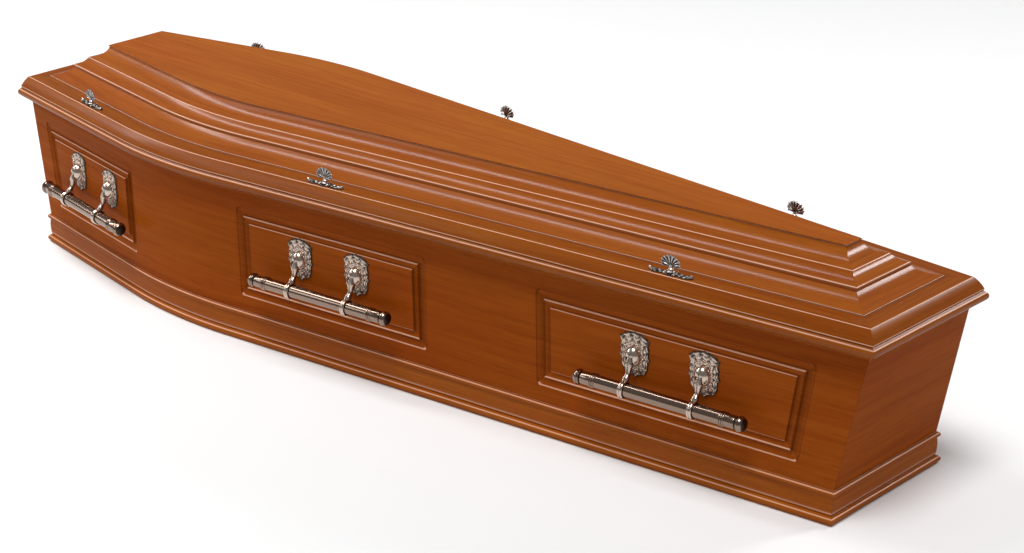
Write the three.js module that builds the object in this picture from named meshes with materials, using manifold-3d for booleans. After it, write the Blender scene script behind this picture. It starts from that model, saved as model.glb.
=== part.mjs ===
// Wooden coffin with a raised, moulded lid, routed side panels, six swing bar handles and six thumb screws.
// Millimetres, +X from the head to the foot, +Z up, -Y the right-hand side as seen from the head.
// The origin is on the floor, below the middle of the lid.

import * as THREE from 'three';
import { mergeVertices } from 'three/addons/utils/BufferGeometryUtils.js';
import Module from 'manifold-3d';

const wasm = await Module();
wasm.setup();

// Plan of the lid's rim, at its outermost line
const lidLength = 2000;
const headHalfWidth = 186;
const footHalfWidth = 151;
const shoulderHalfWidth = 291;
const shoulderFromHead = 551;
const bendRadius = 1000;
const bendSteps = 5;
const headEnd = -lidLength / 2;
const footEnd = lidLength / 2;
const shoulderX = headEnd + shoulderFromHead;

// Box
const boxHeight = 283;
const wall = 18;
const wallInset = 21;
const baseThickness = 18;
const footRake = 0.215;
const headRake = 0.168;

// Plinth moulding, measured outwards from the box
const plinthHeight = 57;
const plinthFoot = 9.5;
const plinthFootHeight = 17;
const plinthRecess = 2.5;
const plinthBead = 4.5;
const plinthBeadHeight = 11;
const plinthRake = 0.09;

// Lid rim
const rimHeight = 49;
const rimRollHeight = 19;
const rimRollRadius = 6;
const rimSlopeInset = 5.5;
const rimSlopeHeight = 29;
const rimLedgeInset = 19;
const rimBoard = 17;
const rimApron = 22;

// Raised moulding of the lid, from its toe inwards
const toeInset = 51.5;
const toeHeight = 2.5;
const lowerRun = 38;
const lowerRise = 16;
const stepRise = 6.5;
const middleRun = 23.5;
const middleRise = 14.5;
const shelfRun = 13;
const shelfRise = 2.5;
const upperRun = 19;
const upperRise = 19;
const mouldingWall = 15;
const panelSeat = 10;
const topPanel = 16;
const topOverhang = 1.5;
const topNosing = 2.5;

// Routed panels in the sides: each one's two ends at mid height, measured from the coffin's head end, its
// shoulder and its foot end
const headPanelStart = 88;
const headPanelEnd = 427;
const middlePanelStart = 175;
const middlePanelEnd = 604;
const footPanelStart = 620;
const footPanelEnd = 117;
const panels = [
  { head: headEnd + headPanelStart, foot: headEnd + headPanelEnd, headLean: -headRake, footLean: 0 },
  { head: shoulderX + middlePanelStart, foot: shoulderX + middlePanelEnd, headLean: 0, footLean: 0 },
  { head: footEnd - footPanelStart, foot: footEnd - footPanelEnd, headLean: 0, footLean: 0.75 * footRake },
];
const panelBottom = 85;
const panelTop = 255;
const panelCorner = 14;
const panelInnerCorner = 2;
const grooveDepth = 3.5;
const outerGroove = { from: 0, to: 16 };
const innerGroove = { from: 17.5, to: 29 };

// Swing bar handles
const handlePlaces = { head: headEnd + 272, middle: shoulderX + 389, foot: footEnd - 363 };
const pivotHeight = 187;
const armSpacing = 128;
const pivotOut = 12;
const barOut = 31;
const barDrop = 48.5;
const barLength = 318;
const barRadius = 11;
const barSides = 10;
const barBand = 120;
const capRadius = 13;
const armWidth = 9;
const armEye = 5.5;
const collarWall = 3.4;
const plateThickness = 4;
const plateHeight = 76;
const plateWidth = 59;
const bossRadius = 11.5;
const bossOut = 18;
const bossHeight = 15;
const slotClearance = 1;

// Thumb screws
const screwPlaces = { head: headEnd + 267, middle: shoulderX + 381, foot: footEnd - 369 };
const screwInset = 30;
const screwPlateLength = 80;
const screwPlateWidth = 19;
const screwPlateThickness = 3;
const screwStemRadius = 3.5;
const screwStemHeight = 8;
const shellWidth = 36;
const shellHeight = 20;
const shellThickness = 5;
const shellRibs = 7;

const gap = 0.3;
const mitreGap = 0.22;

const wood = new THREE.MeshStandardMaterial({ color: 0x8f4718, roughness: 0.32, metalness: 0 });
const woodTop = new THREE.MeshStandardMaterial({ color: 0xa5551e, roughness: 0.3, metalness: 0 });
const bronze = new THREE.MeshStandardMaterial({ color: 0x9a8676, roughness: 0.3, metalness: 0.9 });
const darkBronze = new THREE.MeshStandardMaterial({ color: 0x5d5650, roughness: 0.35, metalness: 0.9 });

const coffin = new THREE.Group();

function addPiece(name, geometry, material, parent = coffin) {
  const mesh = new THREE.Mesh(geometry, material);
  mesh.name = name;
  parent.add(mesh);
  return mesh;
}

// Closed meshes and their joins and cuts

function signedVolume(positions, triangles) {
  const a = new THREE.Vector3();
  const b = new THREE.Vector3();
  const c = new THREE.Vector3();
  let sum = 0;
  for (let i = 0; i < triangles.length; i += 3) {
    a.fromArray(positions, triangles[i] * 3);
    b.fromArray(positions, triangles[i + 1] * 3);
    c.fromArray(positions, triangles[i + 2] * 3);
    sum += a.dot(b.cross(c));
  }
  return sum;
}

function closedGeometry(points, triangles) {
  const positions = points.flat();
  if (signedVolume(positions, triangles) < 0) triangles = [...triangles].reverse();
  const geometry = new THREE.BufferGeometry();
  geometry.setAttribute('position', new THREE.Float32BufferAttribute(positions, 3));
  geometry.setIndex(triangles);
  return geometry;
}

function toSolid(geometry) {
  const bare = geometry.clone();
  bare.deleteAttribute('normal');
  bare.deleteAttribute('uv');
  const merged = mergeVertices(bare, 1e-4);
  const vertProperties = new Float32Array(merged.attributes.position.array);
  const triVerts = new Uint32Array(merged.index.array);
  return new wasm.Manifold(new wasm.Mesh({ numProp: 3, vertProperties, triVerts }));
}

function toGeometry(solid) {
  const { vertProperties, triVerts } = solid.getMesh();
  const geometry = new THREE.BufferGeometry();
  geometry.setAttribute('position', new THREE.Float32BufferAttribute(vertProperties, 3));
  geometry.setIndex([...triVerts]);
  return geometry;
}

function join(...geometries) {
  return toGeometry(geometries.map(toSolid).reduce((all, next) => all.add(next)));
}

function cut(geometry, ...cutters) {
  return toGeometry(cutters.map(toSolid).reduce((left, next) => left.subtract(next), toSolid(geometry)));
}

// Plan: the two straight lengths of a side and the bend between them

const footAngle = Math.atan2(shoulderHalfWidth - footHalfWidth, footEnd - shoulderX);
const headAngle = Math.atan2(shoulderHalfWidth - headHalfWidth, shoulderFromHead);
const bendCentre = (() => {
  const footNormal = [Math.sin(footAngle), Math.cos(footAngle)];
  const headNormal = [-Math.sin(headAngle), Math.cos(headAngle)];
  const footReach = footNormal[0] * shoulderX + footNormal[1] * shoulderHalfWidth - bendRadius;
  const headReach = headNormal[0] * shoulderX + headNormal[1] * shoulderHalfWidth - bendRadius;
  const spread = footNormal[0] * headNormal[1] - footNormal[1] * headNormal[0];
  return [
    (footReach * headNormal[1] - headReach * footNormal[1]) / spread,
    (footNormal[0] * headReach - headNormal[0] * footReach) / spread,
  ];
})();

function onBend(angle, inset) {
  const radius = bendRadius - inset;
  return [bendCentre[0] + radius * Math.sin(angle), bendCentre[1] + radius * Math.cos(angle)];
}

// Half width of the plan at x, and the angle that the side's outward normal leans towards the foot
function sideAt(x, inset) {
  const [footBendX, footBendY] = onBend(footAngle, inset);
  if (x >= footBendX) return { half: footBendY - (x - footBendX) * Math.tan(footAngle), lean: footAngle };
  const [headBendX, headBendY] = onBend(-headAngle, inset);
  if (x <= headBendX) return { half: headBendY - (headBendX - x) * Math.tan(headAngle), lean: -headAngle };
  const lean = Math.asin((x - bendCentre[0]) / (bendRadius - inset));
  return { half: bendCentre[1] + (bendRadius - inset) * Math.cos(lean), lean };
}

// Points of one side of the plan from headX to footX, y outwards
function sidePlan(inset, headX, footX) {
  const points = [[headX, sideAt(headX, inset).half]];
  for (let i = 0; i <= bendSteps; i++) {
    points.push(onBend(-headAngle + ((headAngle + footAngle) * i) / bendSteps, inset));
  }
  points.push([footX, sideAt(footX, inset).half]);
  return points;
}

// The box's ends lean in towards the floor
const footWallX = (z) => footEnd - wallInset - footRake * (boxHeight - z);
const headWallX = (z) => headEnd + wallInset + headRake * (boxHeight - z);
const footWallDepth = Math.hypot(1, footRake);
const headWallDepth = Math.hypot(1, headRake);

// A corner is one profile point: its inset from the rim's side line, its height and its two end lines
const lidCorner = (inset, z) => ({
  inset,
  z,
  headX: headEnd + inset,
  footX: footEnd - inset,
});
const boxCorner = (depth, z) => ({
  inset: wallInset + depth,
  z,
  headX: headWallX(z) + depth * headWallDepth,
  footX: footWallX(z) - depth * footWallDepth,
});
const plinthCorner = (out, z) => ({
  inset: wallInset - out,
  z,
  headX: headWallX(plinthHeight) - out + plinthRake * (plinthHeight - z),
  footX: footWallX(plinthHeight) + out - plinthRake * (plinthHeight - z),
});

// One moulding or board: its closed section carried through the places that each corner passes
function carried(corners, placesOf) {
  const lines = corners.map(placesOf);
  const stations = lines[0].length;
  const count = corners.length;
  const points = [];
  for (let s = 0; s < stations; s++) lines.forEach((line) => points.push(line[s]));
  const triangles = [];
  for (let s = 0; s + 1 < stations; s++) {
    for (let i = 0; i < count; i++) {
      const a = s * count + i;
      const b = s * count + ((i + 1) % count);
      triangles.push(a, b, b + count, a, b + count, a + count);
    }
  }
  const section = corners.map(({ inset, z }) => new THREE.Vector2(inset, z));
  const faces = THREE.ShapeUtils.triangulateShape(section, []);
  const clockwise = THREE.ShapeUtils.isClockWise(section);
  const last = (stations - 1) * count;
  faces.forEach(([a, b, c]) => {
    const [p, q] = clockwise ? [c, a] : [a, c];
    triangles.push(q, b, p);
    triangles.push(p + last, b + last, q + last);
  });
  return closedGeometry(points, triangles);
}

const sideSign = { right: -1, left: 1 };

function sideLength(corners, side) {
  return carried(corners, ({ inset, z, headX, footX }) =>
    sidePlan(inset, headX + mitreGap, footX - mitreGap).map(([x, y]) => [x, sideSign[side] * y, z]));
}

function endLength(corners, end) {
  return carried(corners, (corner) => {
    const x = end === 'head' ? corner.headX : corner.footX;
    const half = sideAt(x, corner.inset).half - mitreGap;
    return [[x, -half, corner.z], [x, half, corner.z]];
  });
}

// A flat board with the whole plan, from its lowest outline to its highest
function board(corners) {
  const rings = corners.map(({ inset, z, headX, footX }) => {
    const half = sidePlan(inset, headX, footX);
    const right = half.map(([x, y]) => [x, -y, z]);
    const left = half.map(([x, y]) => [x, y, z]).reverse();
    return [...right, ...left];
  });
  const count = rings[0].length;
  const triangles = [];
  for (let r = 0; r + 1 < rings.length; r++) {
    for (let i = 0; i < count; i++) {
      const a = r * count + i;
      const b = r * count + ((i + 1) % count);
      triangles.push(a, b, b + count, a, b + count, a + count);
    }
  }
  for (let i = 1; i + 1 < count; i++) {
    const last = (rings.length - 1) * count;
    triangles.push(0, i + 1, i);
    triangles.push(last, last + i, last + i + 1);
  }
  return closedGeometry(rings.flat(), triangles);
}

// Box: base board, bowed sides, raked ends

function wallCorners() {
  const bottom = baseThickness + gap;
  const top = boxHeight - gap;
  return [boxCorner(0, bottom), boxCorner(0, top), boxCorner(wall, top), boxCorner(wall, bottom)];
}

// Outline of a routed panel drawn in by a distance, in the plane of the side, x along it and y up
function panelOutline(panel, drawnIn, corner) {
  const middle = (panelBottom + panelTop) / 2;
  const low = panelBottom + drawnIn;
  const high = panelTop - drawnIn;
  const headLine = (z) => panel.head + drawnIn + panel.headLean * (z - middle);
  const footLine = (z) => panel.foot - drawnIn + panel.footLean * (z - middle);
  const corners = [
    [headLine(low), low],
    [footLine(low), low],
    [footLine(high), high],
    [headLine(high), high],
  ].map(([x, z]) => new THREE.Vector2(x, z));
  if (corner === 0) return corners;
  return corners.flatMap((point, i) => {
    const towardsLast = corners[(i + 3) % 4].clone().sub(point).setLength(corner);
    const towardsNext = corners[(i + 1) % 4].clone().sub(point).setLength(corner);
    const curve = new THREE.QuadraticBezierCurve(
      point.clone().add(towardsLast), point, point.clone().add(towardsNext));
    return curve.getPoints(2);
  });
}

// A groove deepens inwards from its outer line and stops at a step. It runs round the panel.
function grooveCutter(panel, groove, outerCorner, innerCorner, side) {
  const centre = (panel.head + panel.foot) / 2;
  const proud = sideSign[side] * grooveDepth;
  const outer = panelOutline(panel, groove.from, outerCorner);
  const inner = panelOutline(panel, groove.to, innerCorner);
  const points = outer.flatMap(({ x, y }, i) => [
    [x - centre, proud, y],
    [x - centre, 0, y],
    [inner[i].x - centre, -proud, inner[i].y],
    [inner[i].x - centre, proud, inner[i].y],
  ]);
  const triangles = [];
  for (let i = 0; i < outer.length; i++) {
    for (let k = 0; k < 4; k++) {
      const a = 4 * i + k;
      const b = 4 * i + ((k + 1) % 4);
      const nextA = (a + 4) % points.length;
      const nextB = (b + 4) % points.length;
      triangles.push(a, b, nextB, a, nextB, nextA);
    }
  }
  const ring = closedGeometry(points, triangles);
  const { half, lean } = sideAt(centre, wallInset);
  ring.rotateZ(sideSign[side] * -lean);
  ring.translate(centre, sideSign[side] * half, 0);
  return ring;
}

function sideBoard(side) {
  const cutters = panels.flatMap((panel) => [
    grooveCutter(panel, outerGroove, panelCorner, panelInnerCorner, side),
    grooveCutter(panel, innerGroove, 0, 0, side),
  ]);
  return cut(sideLength(wallCorners(), side), ...cutters);
}

addPiece('base_board', board([boxCorner(0, 0), boxCorner(0, baseThickness)]), wood);
for (const side of ['right', 'left']) addPiece(`side_board_${side}`, sideBoard(side), wood);
for (const end of ['head', 'foot']) addPiece(`${end}_board`, endLength(wallCorners(), end), wood);

// Plinth moulding: rounded foot, shallow band and a bead

function plinthCorners() {
  const back = (z) => {
    const corner = boxCorner(0, z);
    return {
      inset: corner.inset - gap,
      z,
      headX: corner.headX - gap,
      footX: corner.footX + gap,
    };
  };
  const footMiddle = plinthFootHeight / 2;
  const beadLow = plinthHeight - plinthBeadHeight;
  const beadMiddle = plinthHeight - plinthBeadHeight / 2;
  return [
    back(0),
    plinthCorner(plinthFoot - 3, 0),
    plinthCorner(plinthFoot - 0.6, footMiddle / 2),
    plinthCorner(plinthFoot, footMiddle),
    plinthCorner(plinthFoot - 1.5, plinthFootHeight - 2.5),
    plinthCorner(plinthRecess + 1, plinthFootHeight),
    plinthCorner(plinthRecess, plinthFootHeight + 3),
    plinthCorner(plinthRecess + 0.8, (plinthFootHeight + beadLow) / 2 + 5),
    plinthCorner(plinthRecess, beadLow),
    plinthCorner(plinthBead - 0.4, beadMiddle - 3),
    plinthCorner(plinthBead, beadMiddle),
    plinthCorner(plinthBead - 1.2, beadMiddle + 3.5),
    plinthCorner(1.5, plinthHeight),
    back(plinthHeight),
  ];
}

for (const side of ['right', 'left']) addPiece(`plinth_${side}`, sideLength(plinthCorners(), side), wood);
for (const end of ['head', 'foot']) addPiece(`plinth_${end}`, endLength(plinthCorners(), end), wood);

// Lid rim: apron on the box, roll, rounded slope and flat ledge

const ledge = boxHeight + rimHeight;

function rimCorners() {
  const roll = boxHeight + rimRollHeight;
  const slope = boxHeight + rimSlopeHeight;
  const slopeRun = rimLedgeInset - rimSlopeInset;
  const slopeRise = ledge - slope;
  const corners = [
    lidCorner(14, boxHeight),
    lidCorner(8, boxHeight + 6),
  ];
  for (const angle of [-60, -25, 0, 25, 60]) {
    const turn = THREE.MathUtils.degToRad(angle);
    corners.push(lidCorner(rimRollRadius * (1 - Math.cos(turn)), roll + rimRollRadius * Math.sin(turn)));
  }
  corners.push(lidCorner(rimSlopeInset, roll + rimRollRadius));
  const rounding = new THREE.QuadraticBezierCurve(
    new THREE.Vector2(rimSlopeInset, slope),
    new THREE.Vector2(rimSlopeInset + 0.3 * slopeRun, slope + 0.75 * slopeRise),
    new THREE.Vector2(rimLedgeInset, ledge),
  );
  corners.push(...rounding.getPoints(3).map(({ x, y }) => lidCorner(x, y)));
  corners.push(
    lidCorner(toeInset + rimApron, ledge),
    lidCorner(toeInset + rimApron, ledge - rimBoard),
    lidCorner(wallInset + rimApron, ledge - rimBoard),
    lidCorner(wallInset + rimApron, boxHeight),
  );
  return corners;
}

for (const side of ['right', 'left']) addPiece(`lid_rim_${side}`, sideLength(rimCorners(), side), woodTop);
for (const end of ['head', 'foot']) addPiece(`lid_rim_${end}`, endLength(rimCorners(), end), woodTop);

// Raised moulding of the lid: three coves in steps, hollow below

const toeTop = ledge + gap + toeHeight;
const lowerTop = toeTop + lowerRise;
const stepTop = lowerTop + stepRise;
const middleTop = stepTop + middleRise;
const shelfTop = middleTop + shelfRise;
const upperTop = shelfTop + upperRise;
const lowerInset = toeInset + lowerRun;
const middleInset = lowerInset + middleRun;
const shelfInset = middleInset + shelfRun;
const upperInset = shelfInset + upperRun;

// A cove leaves its foot flat and ends steep, in three steps
function cove(fromInset, fromZ, toInset, toZ) {
  const curve = new THREE.QuadraticBezierCurve(
    new THREE.Vector2(fromInset, fromZ),
    new THREE.Vector2(fromInset + (toInset - fromInset) * 0.75, fromZ + (toZ - fromZ) * 0.3),
    new THREE.Vector2(toInset, toZ),
  );
  return curve.getPoints(3).map(({ x, y }) => lidCorner(x, y));
}

function mouldingCorners() {
  return [
    lidCorner(toeInset, ledge + gap),
    ...cove(toeInset + 1, toeTop, lowerInset, lowerTop),
    ...cove(lowerInset, stepTop, middleInset, middleTop),
    ...cove(shelfInset, shelfTop, upperInset + topOverhang, upperTop),
    lidCorner(upperInset + topOverhang, upperTop - topPanel + topNosing),
    lidCorner(upperInset + topOverhang + panelSeat, upperTop - topPanel + topNosing),
    lidCorner(upperInset + topOverhang + panelSeat, upperTop - topPanel + topNosing - mouldingWall / 2),
    lidCorner(middleInset + mouldingWall / 2, middleTop - mouldingWall),
    lidCorner(toeInset + rimApron, ledge + gap + toeHeight),
    lidCorner(toeInset + rimApron, ledge + gap),
  ];
}

for (const side of ['right', 'left']) {
  addPiece(`lid_moulding_${side}`, sideLength(mouldingCorners(), side), woodTop);
}
for (const end of ['head', 'foot']) {
  addPiece(`lid_moulding_${end}`, endLength(mouldingCorners(), end), woodTop);
}

const panelUnderside = upperTop - topPanel + topNosing + gap;
const panelEdge = upperTop + gap;
addPiece('lid_top_panel', board([
  lidCorner(upperInset + topOverhang + gap, panelUnderside),
  lidCorner(upperInset + topOverhang + gap, panelEdge),
  lidCorner(upperInset, panelEdge),
  lidCorner(upperInset, panelEdge + topNosing / 2),
  lidCorner(upperInset + topNosing, panelEdge + topNosing),
]), woodTop);

// Handles. In a handle's own frame x runs along the side, -y points out of it, z is up from the pivots.

const mirrored = (half) => [...half, ...half.slice(1, -1).reverse().map(([x, z]) => [-x, z])];

// Leafwork outline of a back plate, from its crown to its lowest leaf, as shares of its half sizes
const plateHalf = [
  [0, 1], [0.4, 0.95], [0.8, 0.8], [1, 0.7], [0.82, 0.54], [0.91, 0.3], [0.86, 0.04],
  [0.98, -0.1], [0.82, -0.24], [0.83, -0.52], [0.62, -0.8], [0.28, -0.86], [0, -1],
];

function backPlate() {
  const outline = mirrored(plateHalf).map(([x, z]) =>
    new THREE.Vector2((x * plateWidth) / 2, (z * plateHeight) / 2));
  const leaf = new THREE.ExtrudeGeometry(new THREE.Shape(outline), {
    depth: plateThickness,
    bevelEnabled: false,
  });
  leaf.rotateX(Math.PI / 2);
  leaf.translate(0, -gap, 0);
  const boss = new THREE.SphereGeometry(1, 8, 6);
  boss.scale(bossRadius, bossOut - gap, bossHeight);
  const behind = new THREE.BoxGeometry(4 * bossRadius, 4 * bossOut, 4 * bossHeight);
  behind.translate(0, 2 * bossOut - gap - plateThickness / 2, 0);
  const slotWidth = armWidth + 2 * slotClearance;
  const slotBack = pivotOut - armEye - slotClearance;
  const slot = new THREE.BoxGeometry(slotWidth, 2 * bossOut, 4 * bossHeight);
  slot.translate(0, -slotBack - bossOut, armEye + slotClearance - 2 * bossHeight);
  return cut(join(leaf, cut(boss, behind)), slot);
}

// Swing arm seen from its side: y outwards from the pivot and z up, then cut to the arm's width
function swingArm() {
  const out = barOut - pivotOut;
  const collar = barRadius + gap + collarWall;
  const shape = new THREE.Shape();
  shape.absarc(0, 0, armEye, Math.PI * 0.95, Math.PI * 0.1, true);
  shape.bezierCurveTo(armEye + 3, -12, armEye + 1, -22, out + 3, -barDrop + collar);
  shape.absarc(out, -barDrop, collar, Math.PI * 0.42, Math.PI * -1.2, true);
  shape.bezierCurveTo(1, -28, -armEye - 1, -18, -armEye, 0);
  const arm = new THREE.ExtrudeGeometry(shape, { depth: armWidth, bevelEnabled: false, curveSegments: 4 });
  arm.translate(0, 0, -armWidth / 2);
  const bore = new THREE.CylinderGeometry(barRadius + gap, barRadius + gap, 2 * armWidth, barSides);
  bore.rotateX(Math.PI / 2);
  bore.translate(out, -barDrop, 0);
  const pierced = cut(arm, bore);
  // from the drawing's x outwards, y up, z across to the handle's frame
  pierced.applyMatrix4(new THREE.Matrix4().set(
    0, 0, -1, 0,
    -1, 0, 0, 0,
    0, 1, 0, 0,
    0, 0, 0, 1,
  ));
  return pierced;
}

// Straight bar with a banded collar near each end and a round cap
function bar() {
  const half = [
    [barRadius, barBand - 5], [barRadius + 1.5, barBand - 4], [barRadius + 1.5, barBand + 4],
    [barRadius, barBand + 5], [barRadius, barLength / 2 - 16], [barRadius - 2, barLength / 2 - 14],
    [capRadius - 1, barLength / 2 - 11], [capRadius, barLength / 2 - 7], [capRadius - 3, barLength / 2 - 2],
    [0, barLength / 2],
  ];
  const profile = [
    ...[...half].reverse().map(([radius, along]) => new THREE.Vector2(radius, -along)),
    ...half.map(([radius, along]) => new THREE.Vector2(radius, along)),
  ];
  const turned = new THREE.LatheGeometry(profile, barSides);
  turned.rotateZ(Math.PI / 2);
  turned.translate(0, -barOut, -barDrop);
  return turned;
}

// A group whose x runs along the side at x and whose -y points out of it
function onSide(side, x, inset, z) {
  const { half, lean } = sideAt(x, inset);
  const group = new THREE.Group();
  group.position.set(x, sideSign[side] * half, z);
  group.rotation.z = side === 'right' ? lean : Math.PI - lean;
  coffin.add(group);
  return group;
}

const plateShape = backPlate();
const armShape = swingArm();
const barShape = bar();
for (const side of ['right', 'left']) {
  for (const [place, x] of Object.entries(handlePlaces)) {
    const handle = onSide(side, x, wallInset, pivotHeight);
    for (const [end, along] of [['head', -armSpacing / 2], ['foot', armSpacing / 2]]) {
      const across = side === 'right' ? along : -along;
      addPiece(`back_plate_${side}_${place}_${end}`, plateShape, bronze, handle).position.x = across;
      const arm = addPiece(`swing_arm_${side}_${place}_${end}`, armShape, bronze, handle);
      arm.position.set(across, -pivotOut, 0);
    }
    addPiece(`handle_bar_${side}_${place}`, barShape, bronze, handle);
  }
}

// Thumb screws on the ledge: a winged leaf plate and a ribbed shell on a stem

const wingHalf = [
  [0, 1], [0.12, 0.85], [0.22, 0.42], [0.42, 0.5], [0.6, 0.8], [0.78, 0.6], [1, 0.15],
];

function wingPlate() {
  const quarter = wingHalf.map(([x, y]) => [(x * screwPlateLength) / 2, (y * screwPlateWidth) / 2]);
  const right = [...quarter, ...[...quarter].reverse().map(([x, y]) => [x, -y])];
  const left = right.slice(1, -1).reverse().map(([x, y]) => [-x, y]);
  const outline = [...right, ...left].map(([x, y]) => new THREE.Vector2(x, y));
  const plate = new THREE.ExtrudeGeometry(new THREE.Shape(outline), {
    depth: screwPlateThickness,
    bevelEnabled: false,
  });
  plate.translate(0, 0, gap);
  return plate;
}

function thumbScrew() {
  const foot = gap + screwPlateThickness + gap;
  const shellFoot = foot + screwStemHeight;
  const stem = new THREE.LatheGeometry([
    new THREE.Vector2(0, foot),
    new THREE.Vector2(screwStemRadius + 2.5, foot),
    new THREE.Vector2(screwStemRadius + 2, foot + 2),
    new THREE.Vector2(screwStemRadius, foot + 4),
    new THREE.Vector2(screwStemRadius, shellFoot),
    new THREE.Vector2(screwStemRadius - 1, shellFoot + 6),
    new THREE.Vector2(0, shellFoot + 6),
  ], 8);
  stem.rotateX(Math.PI / 2);
  const outline = [[-screwStemRadius, 0], [screwStemRadius, 0]];
  const sweep = Math.PI * 1.1;
  for (let i = 0; i <= 2 * shellRibs; i++) {
    const angle = (Math.PI - sweep) / 2 + (sweep * i) / (2 * shellRibs);
    const reach = i % 2 ? 1 : 0.92;
    outline.push([
      (Math.cos(angle) * reach * shellWidth) / 2,
      shellHeight * 0.35 + Math.sin(angle) * reach * shellHeight * 0.65,
    ]);
  }
  const shell = new THREE.ExtrudeGeometry(
    new THREE.Shape(outline.map(([x, y]) => new THREE.Vector2(x, y))),
    { depth: shellThickness, bevelEnabled: false },
  );
  shell.translate(0, 0, -shellThickness / 2);
  shell.rotateX(Math.PI / 2);
  shell.translate(0, 0, shellFoot);
  return join(stem, shell);
}

const wingShape = wingPlate();
const screwShape = thumbScrew();
for (const side of ['right', 'left']) {
  for (const [place, x] of Object.entries(screwPlaces)) {
    const seat = onSide(side, x, screwInset, ledge);
    addPiece(`screw_plate_${side}_${place}`, wingShape, darkBronze, seat);
    addPiece(`thumb_screw_${side}_${place}`, screwShape, darkBronze, seat);
  }
}

export default coffin;
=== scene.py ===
"""Wooden coffin with a stepped raised lid, routed side panels, bar handles and shell thumb screws.

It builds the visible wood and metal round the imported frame, in metres: +X from the head to the foot, +Z up
and -Y the right-hand side as seen from the head.
"""

import math

import bmesh
import bpy
import numpy as np
from mathutils import Euler, Matrix, Vector, noise


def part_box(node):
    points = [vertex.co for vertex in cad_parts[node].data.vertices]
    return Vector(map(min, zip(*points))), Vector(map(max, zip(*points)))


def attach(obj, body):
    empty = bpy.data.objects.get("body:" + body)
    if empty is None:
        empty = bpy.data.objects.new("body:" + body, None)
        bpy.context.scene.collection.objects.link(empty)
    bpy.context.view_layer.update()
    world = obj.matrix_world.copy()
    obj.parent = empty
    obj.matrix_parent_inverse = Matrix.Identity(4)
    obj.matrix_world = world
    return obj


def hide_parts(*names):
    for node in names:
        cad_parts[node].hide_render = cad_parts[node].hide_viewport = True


bl_info = {
    "name": "Wooden Coffin",
    "version": (1, 0, 0),
    "blender": (4, 5, 0),
    "location": "View3D > Sidebar > Coffin",
    "description": "Dresses a coffin with mouldings, routed panels, cast handles and thumb screws",
    "category": "Add Mesh",
}

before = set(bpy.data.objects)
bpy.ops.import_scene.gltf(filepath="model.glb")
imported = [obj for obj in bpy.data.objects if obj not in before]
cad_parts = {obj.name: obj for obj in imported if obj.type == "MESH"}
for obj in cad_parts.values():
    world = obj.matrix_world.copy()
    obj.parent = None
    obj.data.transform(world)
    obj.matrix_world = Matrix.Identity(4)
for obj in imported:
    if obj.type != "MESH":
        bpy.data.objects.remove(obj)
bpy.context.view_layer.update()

MM = 0.001
SIDES = ("right", "left")
ENDS = ("head", "foot")
PLACES = ("head", "middle", "foot")
SIDE_SIGN = {"right": -1, "left": 1}

# Heights that the frame gives
BOX_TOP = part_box("lid_rim_right")[0].z
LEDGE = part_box("lid_rim_right")[1].z
PLINTH_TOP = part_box("plinth_right")[1].z
LID_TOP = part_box("lid_top_panel")[1].z
BOARD_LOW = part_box("side_board_right")[0].z
BOARD_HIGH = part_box("side_board_right")[1].z

# Plan of the rim at its outermost line, and the box inside it
LID_LENGTH = 2.0
HEAD_HALF_WIDTH = 0.186
FOOT_HALF_WIDTH = 0.151
SHOULDER_HALF_WIDTH = 0.291
SHOULDER_FROM_HEAD = 0.551
BEND_RADIUS = 1.0
HEAD_END = -LID_LENGTH / 2
FOOT_END = LID_LENGTH / 2
SHOULDER_X = HEAD_END + SHOULDER_FROM_HEAD
WALL = 18 * MM
WALL_INSET = 21 * MM
HEAD_RAKE = 0.168
FOOT_RAKE = 0.215
PLINTH_RAKE = 0.09
MITRE_GAP = 0.12 * MM
BEND_STATIONS = 28

# Fittings
PIVOT_HEIGHT = 187 * MM
PIVOT_OUT = 12 * MM
HANDLE_X = {"head": HEAD_END + 0.272, "middle": SHOULDER_X + 0.389, "foot": FOOT_END - 0.363}
SCREW_X = {"head": HEAD_END + 0.267, "middle": SHOULDER_X + 0.381, "foot": FOOT_END - 0.369}
SCREW_INSET = 30 * MM

FOOT_ANGLE = math.atan2(SHOULDER_HALF_WIDTH - FOOT_HALF_WIDTH, FOOT_END - SHOULDER_X)
HEAD_ANGLE = math.atan2(SHOULDER_HALF_WIDTH - HEAD_HALF_WIDTH, SHOULDER_FROM_HEAD)


# Plan


def bend_centre():
    """Centre of the arc that touches both straight lengths of a side."""
    normals = np.array([[math.sin(FOOT_ANGLE), math.cos(FOOT_ANGLE)], [-math.sin(HEAD_ANGLE), math.cos(HEAD_ANGLE)]])
    reach = normals @ np.array([SHOULDER_X, SHOULDER_HALF_WIDTH]) - BEND_RADIUS
    return np.linalg.solve(normals, reach)


BEND_X, BEND_Y = bend_centre()


def on_bend(angle, inset):
    radius = BEND_RADIUS - inset
    return BEND_X + radius * math.sin(angle), BEND_Y + radius * math.cos(angle)


def half_plan(head, foot, inset):
    """Points (x, half width, lean) along one side: its ends, and stations round the bend between them."""
    turn = (HEAD_ANGLE + FOOT_ANGLE) / BEND_STATIONS
    angles = [k * turn - HEAD_ANGLE for k in range(BEND_STATIONS + 1)]
    return [
        (head, side_at(head, inset)[0], -HEAD_ANGLE),
        *[(*on_bend(angle, inset), angle) for angle in angles],
        (foot, side_at(foot, inset)[0], FOOT_ANGLE),
    ]


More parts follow.
